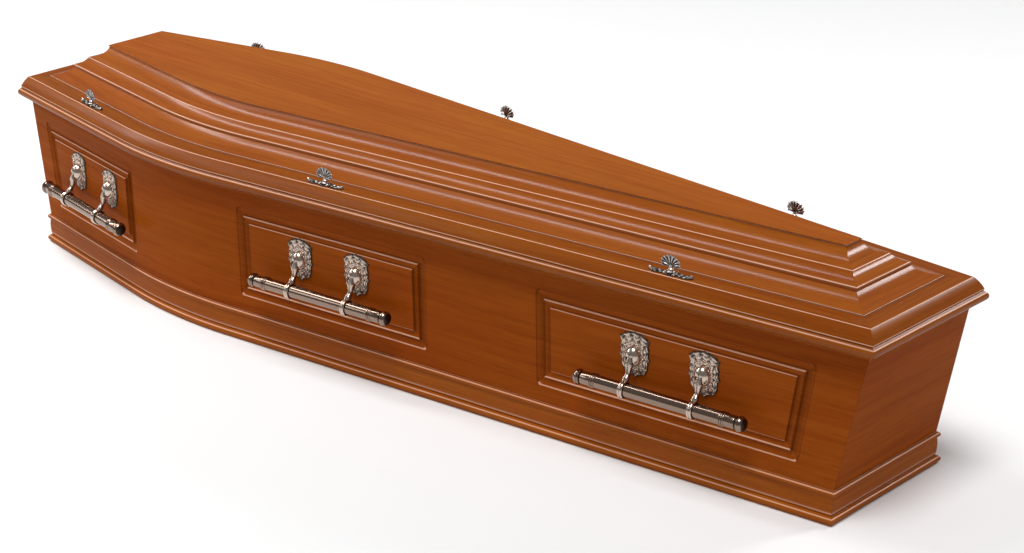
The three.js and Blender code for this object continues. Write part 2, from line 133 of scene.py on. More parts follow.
def side_at(x, inset):
    """Half width of the plan at x, and the angle that the outward normal leans towards the foot."""
    foot_x, foot_y = on_bend(FOOT_ANGLE, inset)
    if x >= foot_x:
        return foot_y - (x - foot_x) * math.tan(FOOT_ANGLE), FOOT_ANGLE
    head_x, head_y = on_bend(-HEAD_ANGLE, inset)
    if x <= head_x:
        return head_y - (head_x - x) * math.tan(HEAD_ANGLE), -HEAD_ANGLE
    lean = math.asin((x - BEND_X) / (BEND_RADIUS - inset))
    return BEND_Y + (BEND_RADIUS - inset) * math.cos(lean), lean


def foot_wall_x(z):
    return FOOT_END - WALL_INSET - FOOT_RAKE * (BOX_TOP - z)


def head_wall_x(z):
    return HEAD_END + WALL_INSET + HEAD_RAKE * (BOX_TOP - z)


def lid_ends(inset, z):
    """The two end lines of a lid moulding at one corner of its profile."""
    return HEAD_END + inset, FOOT_END - inset


def plinth_ends(inset, z):
    out = WALL_INSET - inset
    drop = PLINTH_RAKE * (PLINTH_TOP - z)
    return head_wall_x(PLINTH_TOP) - out + drop, foot_wall_x(PLINTH_TOP) + out - drop


def side_matrix(side, x, inset, z):
    """A fitting's own frame: x along the side, -y out of it, z up."""
    half, lean = side_at(x, inset)
    turn = lean if side == "right" else math.pi - lean
    return Matrix.Translation((x, SIDE_SIGN[side] * half, z)) @ Matrix.Rotation(turn, 4, "Z")


# Meshes


def linked(name, data):
    """A new object in the scene that carries the mesh, light or camera."""
    holder = bpy.data.objects.new(name, data)
    bpy.context.scene.collection.objects.link(holder)
    return holder


def wire_object(name, points, edges):
    mesh = bpy.data.meshes.new(name)
    mesh.from_pydata(points, edges, [])
    return linked(name, mesh)


def new_object(name, vertices, faces):
    mesh = bpy.data.meshes.new(name)
    mesh.from_pydata([tuple(v) for v in vertices], [], faces)
    return linked(name, mesh)


def grid_faces(start, rows, across, closed=False):
    """Faces between rows of vertices that follow one another, each row closed to a ring if wanted."""
    faces = []
    for k in range(rows - 1):
        a, b = start + k * across, start + (k + 1) * across
        for j in range(across if closed else across - 1):
            n = (j + 1) % across
            faces.append((a + j, b + j, b + n, a + n))
    return faces


def round_angles(count):
    return [2 * math.pi * k / count for k in range(count)]


def bell(value, middle, width):
    """One at the middle, fading to nothing over a few widths to both sides."""
    return math.exp(-((value - middle) / width) ** 2)


def moved(piece, *place):
    piece.data.transform(Matrix.Translation(place))
    return piece


def ring_pair_faces(first, second):
    """Faces between two rings of the same number of vertices, given by their indices."""
    count = len(first)
    return [(first[j], second[j], second[(j + 1) % count], first[(j + 1) % count]) for j in range(count)]


def close_back(vertices, relief, faces, rim, axis, level, value):
    """Repeats a rim on one level of an axis, and closes the wall between them and the back with faces."""
    back = range(len(vertices), len(vertices) + len(rim))
    for i in rim:
        spot = list(vertices[i])
        spot[axis] = level
        vertices.append(spot)
        relief.append(value)
    faces += ring_pair_faces(rim, back)
    faces.append(tuple(back))


def tidy_mesh(piece, crease=math.radians(35), weighted=False):
    """Merges doubles, points the faces outwards, and shades smooth but for the creases."""
    mesh = piece.data
    shell = bmesh.new()
    shell.from_mesh(mesh)
    bmesh.ops.remove_doubles(shell, verts=shell.verts, dist=0.005 * MM)
    bmesh.ops.dissolve_degenerate(shell, edges=shell.edges, dist=0.004 * MM)
    bmesh.ops.recalc_face_normals(shell, faces=shell.faces)
    shell.to_mesh(mesh)
    shell.free()
    mesh.shade_smooth()
    mesh.set_sharp_from_angle(angle=crease)
    if weighted:
        finish = piece.modifiers.new("Even shading", "WEIGHTED_NORMAL")
        finish.mode = "FACE_AREA"
        finish.keep_sharp = True
        apply_modifiers(piece)
    return piece


def apply_modifiers(piece):
    graph = bpy.context.evaluated_depsgraph_get()
    made = bpy.data.meshes.new_from_object(
        piece.evaluated_get(graph), preserve_all_data_layers=True, depsgraph=graph)
    piece.modifiers.clear()
    old = piece.data
    piece.data = made
    bpy.data.meshes.remove(old)
    made.name = piece.name


def add_floats(mesh, name, values):
    layer = mesh.attributes.new(name, "FLOAT", "POINT")
    layer.data.foreach_set("value", np.asarray(values, np.float32))


def add_vectors(mesh, name, values):
    layer = mesh.attributes.new(name, "FLOAT_VECTOR", "POINT")
    layer.data.foreach_set("vector", np.asarray(values, np.float32).ravel())


def joined(name, *pieces):
    """One mesh object from several."""
    with bpy.context.temp_override(active_object=pieces[0], selected_editable_objects=list(pieces)):
        bpy.ops.object.join()
    pieces[0].name = name
    pieces[0].data.name = name
    return pieces[0]


def finish_piece(piece, material, slot, body, *nodes):
    """Gives the piece its material, the body it moves with and the nodes it stands for; the slot is not used."""
    if material:
        piece.data.materials.clear()
        piece.data.materials.append(material)
    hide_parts(*nodes)
    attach(piece, body)


def copy_at(source, name, matrix):
    piece = linked(name, source.data.copy())
    piece.data.name = name
    piece.data.transform(matrix)
    return piece


def set_copy(source, name, matrix, finish, slot, body, node):
    """A finished copy of a metal piece, standing for its node."""
    finish_piece(copy_at(source, name, matrix), metal(finish), slot, body, node)


def discard(*pieces):
    for piece in pieces:
        bpy.data.objects.remove(piece, do_unlink=True)


def rounded(corners, steps=4):
    """A closed outline from corners (across, up, radius), each turned as a small arc."""
    outline = []
    count = len(corners)
    for i, (across, up, radius) in enumerate(corners):
        here = Vector((across, up))
        if radius == 0:
            outline.append(here)
            continue
        back = Vector(corners[i - 1][:2]) - here
        on = Vector(corners[(i + 1) % count][:2]) - here
        reach = min(radius, back.length * 0.45, on.length * 0.45)
        start, end = here + back.normalized() * reach, here + on.normalized() * reach
        for k in range(steps + 1):
            share = k / steps
            outline.append(start.lerp(here, share).lerp(here.lerp(end, share), share))
    return outline


def cove(start, end, steps=10):
    """Corners of a cove that leaves its foot flat and ends steep."""
    start, end = Vector(start), Vector(end)
    bend = Vector((start.x + (end.x - start.x) * 0.75, start.y + (end.y - start.y) * 0.3))
    points = [start.lerp(bend, k / steps).lerp(bend.lerp(end, k / steps), k / steps) for k in range(1, steps)]
    return [(p.x, p.y, 0) for p in points]


def arc(centre_across, centre_up, radius, first, last, steps=26):
    """Corners of an arc whose angles start at the outward side and turn upwards."""
    corners = []
    for k in range(steps + 1):
        turn = math.radians(first + (last - first) * k / steps)
        corners.append((centre_across - radius * math.cos(turn), centre_up + radius * math.sin(turn), 0))
    return corners


# Node trees


class TreeMaker:
    """Short names for adding and joining nodes."""

    @classmethod
    def for_material(cls, name):
        material = bpy.data.materials.new(name)
        material.use_nodes = True
        material.node_tree.nodes.clear()
        return material, cls(material.node_tree)

    def __init__(self, tree):
        self.tree = tree
        self.nodes = tree.nodes
        self.column = 0

    def add(self, kind, inputs=(), **settings):
        node = self.nodes.new(kind)
        node.location = (self.column * 190, -(self.column % 4) * 160)
        self.column += 1
        for key, value in settings.items():
            setattr(node, key, value)
        for key, value in dict(inputs).items():
            socket = node.inputs[key]
            if isinstance(value, bpy.types.NodeSocket):
                self.tree.links.new(value, socket)
            else:
                socket.default_value = value
        return node

    def math(self, operation, first, second=0.0):
        return self.add("ShaderNodeMath", {0: first, 1: second}, operation=operation).outputs[0]

    def vector(self, operation, first, second=(0.0, 0.0, 0.0)):
        node = self.add("ShaderNodeVectorMath", {0: first, 1: second}, operation=operation)
        return node.outputs["Value" if operation == "DOT_PRODUCT" else "Vector"]

    def scaled(self, vector, factor):
        return self.add("ShaderNodeVectorMath", {0: vector, "Scale": factor}, operation="SCALE").outputs["Vector"]

    def noise(self, vector, scale, detail=2.0, rough=0.5, output="Fac"):
        return self.add("ShaderNodeTexNoise", {
            "Vector": vector, "Scale": scale, "Detail": detail, "Roughness": rough,
        }).outputs[output]

    def mix(self, factor, first, second, **settings):
        inputs = {0: factor, 6: first, 7: second}
        return self.add("ShaderNodeMix", inputs, data_type="RGBA", **settings).outputs[2]

    def bump(self, strength, distance, height):
        inputs = {"Strength": strength, "Distance": distance, "Height": height}
        return self.add("ShaderNodeBump", inputs).outputs["Normal"]

    def between(self, value, first, last, low, high, **settings):
        """The value's place between first and last, carried over to between low and high."""
        return self.add("ShaderNodeMapRange", {
            "Value": value, "From Min": first, "From Max": last, "To Min": low, "To Max": high,
        }, **settings).outputs["Result"]

    def surface(self, **inputs):
        shader = self.add("ShaderNodeBsdfPrincipled", {key.replace("_", " "): v for key, v in inputs.items()})
        self.add("ShaderNodeOutputMaterial", {"Surface": shader.outputs[0]})

    def finished(self, geometry, material):
        """Ends a geometry tree: instances made real, and the material set on them."""
        real = self.add("GeometryNodeRealizeInstances", {"Geometry": geometry}).outputs["Geometry"]
        painted = self.add("GeometryNodeSetMaterial", {"Geometry": real, "Material": material})
        self.add("NodeGroupOutput", {"Geometry": painted.outputs["Geometry"]})
        return self.tree

    def attribute(self, name, kind="FLOAT"):
        return self.add("GeometryNodeInputNamedAttribute", {"Name": name}, data_type=kind).outputs["Attribute"]


def geometry_tree(name, inputs):
    tree = bpy.data.node_groups.new(name, "GeometryNodeTree")
    tree.interface.new_socket(name="Geometry", in_out="INPUT", socket_type="NodeSocketGeometry")
    for label, kind, value in inputs:
        socket = tree.interface.new_socket(name=label, in_out="INPUT", socket_type=kind)
        if value is not None:
            socket.default_value = value
    tree.interface.new_socket(name="Geometry", in_out="OUTPUT", socket_type="NodeSocketGeometry")
    return tree


def run_tree(piece, tree, values):
    """Runs the tree on the piece with its inputs set, and keeps the result as the piece's mesh."""
    modifier = piece.modifiers.new(tree.name, "NODES")
    modifier.node_group = tree
    for item in tree.interface.items_tree:
        if item.item_type == "SOCKET" and item.in_out == "INPUT" and item.name in values:
            modifier[item.identifier] = values[item.name]
    apply_modifiers(piece)


def moulding_tree():
    """Sweeps a closed profile along a run and cuts both its ends to their mitres."""
    tree = geometry_tree("Moulding run", [
        ("Profile", "NodeSocketObject", None),
        ("Cut axis", "NodeSocketVector", (1.0, 0.0, 0.0)),
        ("Seed", "NodeSocketFloat", 0.0),
        ("Material", "NodeSocketMaterial", None),
    ])
    t = TreeMaker(tree)
    given = t.add("NodeGroupInput").outputs
    run = t.add("GeometryNodeMeshToCurve", {"Mesh": given["Geometry"]}).outputs["Curve"]
    section = t.add("GeometryNodeObjectInfo", {"Object": given["Profile"]}, transform_space="ORIGINAL")
    outline = t.add("GeometryNodeMeshToCurve", {"Mesh": section.outputs["Geometry"]}).outputs["Curve"]
    swept = t.add("GeometryNodeCurveToMesh", {"Curve": run, "Profile Curve": outline, "Fill Caps": True})
    inset, height = t.attribute("inset"), t.attribute("height")
    tangent = t.attribute("tangent", "FLOAT_VECTOR")
    inwards = t.scaled(t.attribute("inward", "FLOAT_VECTOR"), inset)
    lifted = t.add("ShaderNodeCombineXYZ", {"Z": height}).outputs[0]
    square = t.vector("ADD", t.vector("ADD", t.attribute("spot", "FLOAT_VECTOR"), inwards), lifted)
    reached = t.vector("DOT_PRODUCT", square, given["Cut axis"])
    speed = t.vector("DOT_PRODUCT", tangent, given["Cut axis"])
    to_first = t.math("MULTIPLY", t.math("SUBTRACT", t.attribute("first_cut"), reached), t.attribute("is_first"))
    to_last = t.math("MULTIPLY", t.math("SUBTRACT", t.attribute("last_cut"), reached), t.attribute("is_last"))
    shift = t.math("DIVIDE", t.math("ADD", to_first, to_last), speed)
    place = t.vector("ADD", square, t.scaled(tangent, shift))
    set_place = t.add("GeometryNodeSetPosition", {"Geometry": swept.outputs["Mesh"], "Position": place})
    along = t.math("ADD", t.attribute("along"), shift)
    grain = t.add("ShaderNodeCombineXYZ", {"X": along, "Y": t.attribute("across"), "Z": given["Seed"]}).outputs[0]
    stored = t.add("GeometryNodeStoreNamedAttribute", {
        "Geometry": set_place.outputs["Geometry"], "Name": "grain", "Value": grain,
    }, data_type="FLOAT_VECTOR", domain="POINT")
    return t.finished(stored.outputs["Geometry"], given["Material"])


def beading_tree():
    """Sets small domed beads along a drawn line."""
    tree = geometry_tree("Beading", [
        ("Spacing", "NodeSocketFloat", 2.4 * MM),
        ("Radius", "NodeSocketFloat", 1.0 * MM),
        ("Unevenness", "NodeSocketFloat", 0.25),
        ("Seed", "NodeSocketInt", 3),
        ("Material", "NodeSocketMaterial", None),
    ])
    t = TreeMaker(tree)
    given = t.add("NodeGroupInput").outputs
    line = t.add("GeometryNodeMeshToCurve", {"Mesh": given["Geometry"]}).outputs["Curve"]
    spots = t.add("GeometryNodeCurveToPoints", {"Curve": line, "Length": given["Spacing"]}, mode="LENGTH")
    bead = t.add("GeometryNodeMeshIcoSphere", {"Radius": given["Radius"], "Subdivisions": 2})
    low = t.math("SUBTRACT", 1.0, given["Unevenness"])
    high = t.math("ADD", 1.0, given["Unevenness"])
    size = t.add("FunctionNodeRandomValue", {"Seed": given["Seed"]}, data_type="FLOAT")
    floats = [s for s in size.inputs if s.type == "VALUE" and s.name in ("Min", "Max")]
    tree.links.new(low, floats[0])
    tree.links.new(high, floats[1])
    chosen = next(s for s in size.outputs if s.type == "VALUE")
    set_beads = t.add("GeometryNodeInstanceOnPoints", {
        "Points": spots.outputs["Points"], "Instance": bead.outputs["Mesh"], "Scale": chosen,
    })
    return t.finished(set_beads.outputs["Instances"], given["Material"])


# Materials


def wood_material(name, tones, lacquer, gloss_spread, seed, axes=None):
    """Stained and lacquered wood whose grain runs along x of the grain attribute, or along the first of the axes."""
    settings = bpy.context.scene.coffin_finish
    material, t = TreeMaker.for_material(name)
    if axes:
        parts = t.add("ShaderNodeSeparateXYZ", {0: t.add("ShaderNodeTexCoord").outputs["Object"]}).outputs
        place = t.add("ShaderNodeCombineXYZ", {i: parts[axis] for i, axis in enumerate(axes)}).outputs[0]
    else:
        place = t.add("ShaderNodeAttribute", attribute_name="grain").outputs["Vector"]
    place = t.vector("ADD", place, (seed, seed * 0.37, seed * 0.71))

    def stretched(vector, along, across):
        return t.vector("MULTIPLY", vector, (along, across, across))

    def figure(vector, along, across, detail, rough):
        return t.noise(stretched(vector, along, across), 1.0, detail, rough)

    def ramp(value, stops):
        node = t.add("ShaderNodeValToRGB", {"Fac": value})
        elements = node.color_ramp.elements
        while len(elements) < len(stops):
            elements.new(0.5)
        for element, (position, colour) in zip(elements, stops):
            element.position = position
            element.color = (*colour, 1.0)
        return node.outputs["Color"]

    def grey(*limits):
        return t.between(*limits, interpolation_type="SMOOTHSTEP")

    # Slow wander of the grain, then the boards' figure, streaks and pores
    wander = t.noise(stretched(place, 1.4, 5.0), 1.0, output="Color")
    offset = t.vector("MULTIPLY", t.vector("SUBTRACT", wander, (0.5, 0.5, 0.5)), (0.0, 0.040, 0.040))
    bent = t.vector("ADD", place, offset)
    broad = figure(bent, 1.1, 26.0, 4.0, 0.60)
    streaks = figure(bent, 3.2, 120.0, 5.0, 0.66)
    fine = figure(bent, 7.0, 420.0, 3.0, 0.60)
    pores = figure(bent, 22.0, 900.0, 2.0, 0.5)
    clouds = figure(place, 1.8, 9.0, 3.0, 0.5)
    dark, middle, light = tones
    mixed = t.math("ADD", t.math("MULTIPLY", broad, 0.34), t.math("MULTIPLY", streaks, 0.40))
    body = ramp(t.math("ADD", mixed, t.math("MULTIPLY", fine, 0.26)), [(0.36, dark), (0.50, middle), (0.64, light)])
    tint = ramp(clouds, [(0.36, settings.red_tint), (0.64, settings.yellow_tint)])
    tinted = t.mix(settings.tint_strength, body, tint, blend_type="MULTIPLY")
    # Stain and painted light: above zero it darkens hollows and groove feet as stain and painted shade; below zero
    # it lightens arrises and crests toward the bare wood colour as wear and painted highlight.
    stain = t.add("ShaderNodeAttribute", attribute_name="stain").outputs["Fac"]
    wear_and_highlight = grey(stain, 0.0, -1.0, 0.0, settings.edge_wear_and_highlight)
    worn_and_highlit = t.mix(wear_and_highlight, tinted, (*settings.bare_wood, 1.0))
    pore_shade = grey(pores, 0.30, 0.46, 0.82, 1.0)
    stain_and_shade = grey(stain, 0.0, 1.0, 1.0, settings.hollow_stain_and_shade)
    shade = t.math("MULTIPLY", pore_shade, stain_and_shade)
    coloured = t.scaled(worn_and_highlit, shade)
    bump = t.bump(0.04, 0.2 * MM, t.math("ADD", pores, t.math("MULTIPLY", streaks, 0.5)))
    rough = grey(streaks, 0.3, 0.7, settings.wood_roughness + 0.06, settings.wood_roughness - 0.04)
    t.surface(Base_Color=coloured, Roughness=rough, Normal=bump, IOR=1.45, Specular_IOR_Level=0.08 * lacquer,
              Coat_Weight=lacquer, Coat_Roughness=gloss_spread, Coat_IOR=1.5)
    return material


def metal_material(name, light, dark, roughness, grain_strength):
    """Plated cast metal, bright on what stands out and dark in its hollows."""
    material, t = TreeMaker.for_material(name)
    place = t.add("ShaderNodeTexCoord").outputs["Object"]
    relief = t.add("ShaderNodeAttribute", attribute_name="relief").outputs["Fac"]
    mottle = t.noise(place, 55.0, 4.0, 0.6)
    fine = t.noise(place, 900.0)
    height = t.math("ADD", relief, t.math("MULTIPLY", t.math("SUBTRACT", mottle, 0.5), 0.35))
    blend = t.between(height, 0.12, 0.72, 0.0, 1.0, interpolation_type="SMOOTHSTEP")
    colour = t.mix(blend, (*dark, 1.0), (*light, 1.0))
    rough = t.between(blend, 0.0, 1.0, roughness + 0.22, roughness)
    bump = t.bump(grain_strength, 0.4 * MM, fine)
    t.surface(Base_Color=colour, Metallic=1.0, Roughness=rough, Normal=bump)
    return material


def floor_material(colour):
    material, t = TreeMaker.for_material("pale_floor")
    place = t.add("ShaderNodeTexCoord").outputs["Object"]
    tone = t.mix(t.noise(place, 1.5), (*colour, 1.0), (*[c * 0.985 for c in colour], 1.0))
    t.surface(Base_Color=tone, Roughness=0.9, Specular_IOR_Level=0.1)
    return material


_made = {}


def made_once(name, make):
    if name not in _made:
        _made[name] = make()
    return _made[name]


# For each wood: its tone, its lacquer, the share of that lacquer, how far the gloss spreads, and the seed
WOODS = {
    "lid_wood": (None, "lacquer", 0.8, 0.20, 0.0),
    "raised_wood": ("raised_tone", "lacquer", 1.6, 0.20, 2.2),
    "rim_wood": ("rim_tone", "lacquer", 1.0, 0.26, 5.3),
    "plinth_wood": ("plinth_tone", "lacquer", 0.5, 0.14, 8.9),
    # The boards below get a darker, redder tone, partly as painted shade for their upright faces that get less
    # light.
    "box_wood": ("box_tone_and_shade", "box_lacquer", 1.0, 0.20, 3.1),
    "base_board_wood": ("box_tone_and_shade", "box_lacquer", 1.0, 0.20, 7.7),
    "head_board_wood": ("box_tone_and_shade", "box_lacquer", 1.0, 0.20, 11.3),
    "foot_board_wood": ("box_tone_and_shade", "box_lacquer", 1.0, 0.20, 14.9),
}

# For each metal: its bright colour, the colour of its hollows, its roughness, and the strength of its grain
METALS = {
    "handle_metal": ("handle_light", "handle_dark", "handle_roughness", 0.10),
    "bar_metal": ("bar_light", "handle_dark", "bar_roughness", 0.02),
    "screw_metal": ("screw_light", "screw_dark", "handle_roughness", 0.08),
}


def wood(name, axes=None):
    """One of the woods, its grain along the grain attribute, or along an axis where axes are given."""
    finish = bpy.context.scene.coffin_finish
    tone, lacquer, share, gloss_spread, seed = WOODS[name]
    tint = getattr(finish, tone) if tone else (1, 1, 1)
    tones = [tuple(c * t for c, t in zip(colour, tint)) for colour in (finish.dark, finish.middle, finish.light)]
    coat = min(1.0, share * getattr(finish, lacquer))
    return made_once(name, lambda: wood_material(name, tones, coat, gloss_spread, seed, axes))


def metal(name):
    """One of the metals."""
    sizes = bpy.context.scene.coffin_metal
    light, dark, roughness, grain_strength = METALS[name]
    return made_once(name, lambda: metal_material(
        name, getattr(sizes, light), getattr(sizes, dark), getattr(sizes, roughness), grain_strength))


# Mouldings


def turns_of(outline):
    """How sharply a closed outline turns at each corner, in degrees: above zero on arrises, below it in hollows."""
    count = len(outline)
    area = sum(outline[i].cross(outline[(i + 1) % count]) for i in range(count))
    turns = []
    for i, here in enumerate(outline):
        back = here - outline[i - 1]
        on = outline[(i + 1) % count] - here
        turns.append(math.degrees(math.atan2(back.cross(on), back.dot(on))) * (1 if area > 0 else -1))
    return turns


# Degrees of turn at which an arris starts to get its wear and painted highlight and a hollow its stain and painted
# shade, and how many more they need for all
ARRIS_TURN, ARRIS_SPAN = 6, 6
HOLLOW_TURN, HOLLOW_SPAN = 7, 9
SHARP_TURN = 10
GUARD_REACH = 1.1 * MM

# Crests that get a painted highlight line, as (inset, height)
CREST_REACH = 1.2 * MM
CREST_HIGHLIGHT = 0.8
RIM_CRESTS = ((2.9 * MM, BOX_TOP + 23.4 * MM),)
PLINTH_CRESTS = (
    (WALL_INSET - 7.5 * MM, 12.5 * MM),
    (WALL_INSET - 3.0 * MM, 19 * MM),
    (WALL_INSET - 4.3 * MM, PLINTH_TOP - 2 * MM),
)


def stain_and_painted_light_of(outline, crests=()):
    """Stain and painted light along an outline: up to one in sharp hollows for stain and painted shade, down to
    minus one on arrises for wear and painted highlight, and on crests for painted highlight.
    """
    stains_and_painted_light = [
        -min(1.0, max(0.0, (turn - ARRIS_TURN) / ARRIS_SPAN)) if turn > 0
        else min(1.0, max(0.0, (-turn - HOLLOW_TURN) / HOLLOW_SPAN))
        for turn in turns_of(outline)
    ]
    for i, here in enumerate(outline):
        for across, up in crests:
            gap = math.hypot(here.x - across, here.y - up)
            if stains_and_painted_light[i] < 0.3:
                stains_and_painted_light[i] = min(stains_and_painted_light[i], -CREST_HIGHLIGHT * bell(gap, 0, CREST_REACH))
    return stains_and_painted_light


def with_guards(outline):
    """The outline with points added close beside its sharp turns, so that the painted lines of stain, shade and
    highlight stay narrow.
    """
    sharp = [abs(turn) > SHARP_TURN for turn in turns_of(outline)]
    guarded = []
    for i, here in enumerate(outline):
        following = (i + 1) % len(outline)
        on = outline[following]
        length = (on - here).length
        guarded.append(here)
        if sharp[i] and length > 1.6 * GUARD_REACH:
            guarded.append(here.lerp(on, GUARD_REACH / length))
        if sharp[following] and length > 2.4 * GUARD_REACH:
            guarded.append(on.lerp(here, GUARD_REACH / length))
    return guarded


def profile_object(name, outline, ends_of, axis, crests):
    """A closed outline of (inset, height) points with what each needs to be carried along a run."""
    count = len(outline)
    piece = wire_object(name, [(p.x, p.y, 0) for p in outline], [(i, (i + 1) % count) for i in range(count)])
    holder = piece.data
    lengths = [0.0]
    for i in range(1, count):
        lengths.append(lengths[-1] + (outline[i] - outline[i - 1]).length)
    cuts = [ends_of(p.x, p.y) for p in outline]
    add_floats(holder, "inset", [line_inset(p, cut, axis) for p, cut in zip(outline, cuts)])
    add_floats(holder, "height", [p.y for p in outline])
    add_floats(holder, "across", lengths)
    add_floats(holder, "stain", stain_and_painted_light_of(outline, crests))
    if axis == "side":
        add_floats(holder, "first_cut", [cut[0] + MITRE_GAP for cut in cuts])
        add_floats(holder, "last_cut", [cut[1] - MITRE_GAP for cut in cuts])
    else:
        ends = [cut[0] if axis == "head" else cut[1] for cut in cuts]
        halves = [side_at(x, p.x)[0] - MITRE_GAP for x, p in zip(ends, outline)]
        add_floats(holder, "first_cut", [-half for half in halves])
        add_floats(holder, "last_cut", halves)
    return piece


def line_inset(point, cut, axis):
    """How far a profile corner lies inside the line that its run follows."""
    if axis == "head":
        return cut[0] - HEAD_END
    if axis == "foot":
        return FOOT_END - cut[1]
    return point.x


def run_object(name, axis, side=None):
    """The line that a moulding follows: one side's bowed line or one end's straight line."""
    if axis == "side":
        sign = SIDE_SIGN[side]
        plan = half_plan(HEAD_END, FOOT_END, 0)
        spots = [(x, sign * y, 0) for x, y, _ in plan]
        inward = [(-math.sin(lean), -sign * math.cos(lean), 0) for _, _, lean in plan]
        tangent = [(math.cos(lean), -sign * math.sin(lean), 0) for _, _, lean in plan]
    else:
        x = HEAD_END if axis == "head" else FOOT_END
        half = HEAD_HALF_WIDTH if axis == "head" else FOOT_HALF_WIDTH
        spots = [(x, half * share, 0) for share in (-1, 0, 1)]
        inward = [(1 if axis == "head" else -1, 0, 0)] * len(spots)
        tangent = [(0, 1, 0)] * len(spots)
    count = len(spots)
    piece = wire_object(name, spots, [(i, i + 1) for i in range(count - 1)])
    mesh = piece.data
    add_vectors(mesh, "spot", spots)
    add_vectors(mesh, "inward", inward)
    add_vectors(mesh, "tangent", tangent)
    steps = [0.0] + [math.dist(spots[i], spots[i - 1]) for i in range(1, count)]
    add_floats(mesh, "along", np.cumsum(steps))
    add_floats(mesh, "is_first", [1.0] + [0.0] * (count - 1))
    add_floats(mesh, "is_last", [0.0] * (count - 1) + [1.0])
    return piece


SEED_PER_LETTER = 0.9
SEED_PER_SIDE = 1.7


def moulding_set(kind, node, outline, ends_of, slot, seed, crests=()):
    """Four mitred lengths of one kind of moulding, each standing for its node."""
    tree = made_once("moulding tree", moulding_tree)
    material = wood(f"{kind}_wood")
    outline = with_guards(outline)
    for key in SIDES + ENDS:
        name = f"{kind}_moulding_{key}"
        axis = "side" if key in SIDES else key
        profile = profile_object(name + "_profile", outline, ends_of, axis, crests)
        piece = run_object(name, axis, key if axis == "side" else None)
        run_tree(piece, tree, {
            "Profile": profile,
            "Cut axis": (1.0, 0.0, 0.0) if axis == "side" else (0.0, 1.0, 0.0),
            "Seed": seed + SEED_PER_LETTER * len(name) + SEED_PER_SIDE * (key in ("left", "foot")),
            "Material": material,
        })
        discard(profile)
        tidy_mesh(piece, weighted=True)
        finish_piece(piece, material, slot, "root", f"{node}_{key}")


def rim_outline():
    roll = 8 * MM
    roll_height = BOX_TOP + 17.3 * MM
    slope_low = BOX_TOP + 29 * MM
    ledge_inset = 19 * MM
    slope_inset = 5.5 * MM
    start, end = Vector((slope_inset, slope_low)), Vector((ledge_inset, LEDGE))
    bulge = Vector((slope_inset + 0.42 * (ledge_inset - slope_inset), slope_low + 0.62 * (LEDGE - slope_low)))
    slope = [start.lerp(bulge, k / 6).lerp(bulge.lerp(end, k / 6), k / 6) for k in range(1, 6)]
    return rounded([
        (18 * MM, BOX_TOP, 0.5 * MM),
        (11 * MM, BOX_TOP + 7.5 * MM, 4 * MM),
        *arc(roll, roll_height, roll, -58, 62),
        (slope_inset + 1.2 * MM, BOX_TOP + 26.4 * MM, 0.6 * MM),
        (slope_inset, slope_low, 0.9 * MM),
        *[(point.x, point.y, 0) for point in slope],
        (ledge_inset, LEDGE, 1.0 * MM),
        (73.5 * MM, LEDGE, 0),
        (73.5 * MM, LEDGE - 17 * MM, 0),
        (43 * MM, LEDGE - 17 * MM, 0),
        (43 * MM, BOX_TOP, 0),
    ])


def raised_outline():
    foot = LEDGE + 0.3 * MM
    toe_top = foot + 2.5 * MM
    lower = Vector((89.5 * MM, toe_top + 16 * MM))
    step_top = lower.y + 6.5 * MM
    middle = Vector((113 * MM, step_top + 14.5 * MM))
    shelf = Vector((126 * MM, middle.y + 2.5 * MM))
    upper = Vector((146.5 * MM, shelf.y + 19 * MM))
    seat = upper.y - 13.5 * MM
    return rounded([
        (51.5 * MM, foot, 0),
        (51.5 * MM, toe_top, 1.0 * MM),
        (53 * MM, toe_top - 0.2 * MM, 0),
        *cove((53 * MM, toe_top - 0.2 * MM), (lower.x - 0.6 * MM, lower.y)),
        (lower.x, lower.y, 0.5 * MM),
        (lower.x, step_top, 1.3 * MM),
        *cove((lower.x + 1.5 * MM, step_top), (middle.x, middle.y)),
        (middle.x, middle.y, 1.0 * MM),
        (shelf.x - 1 * MM, shelf.y, 0.6 * MM),
        *cove((shelf.x, shelf.y), (upper.x, upper.y)),
        (upper.x, upper.y, 0),
        (upper.x, seat, 0),
        (upper.x + 10 * MM, seat, 0),
        (upper.x + 10 * MM, seat - 7.5 * MM, 0),
        (120.5 * MM, middle.y - 15 * MM, 0),
        (73.5 * MM, toe_top, 0),
        (73.5 * MM, foot, 0),
    ])


def plinth_outline():
    wall = WALL_INSET - 0.3 * MM
    out = WALL_INSET
    bead_middle = PLINTH_TOP - 5.2 * MM
    return rounded([
        (wall, 0, 0),
        (out - 6.5 * MM, 0, 1.5 * MM),
        *arc(out - 3.5 * MM, 8 * MM, 6 * MM, -62, 72),
        (out - 2.2 * MM, 15.2 * MM, 0.8 * MM),
        (out - 3.0 * MM, 19 * MM, 1.2 * MM),
        (out - 3.4 * MM, 27 * MM, 3 * MM),
        (out - 3.2 * MM, 37 * MM, 3 * MM),
        (out - 2.0 * MM, PLINTH_TOP - 11.6 * MM, 1.2 * MM),
        *arc(out - 1.1 * MM, bead_middle, 4.6 * MM, -70, 80),
        (out - 0.9 * MM, PLINTH_TOP, 0.4 * MM),
        (wall, PLINTH_TOP, 0),
    ])


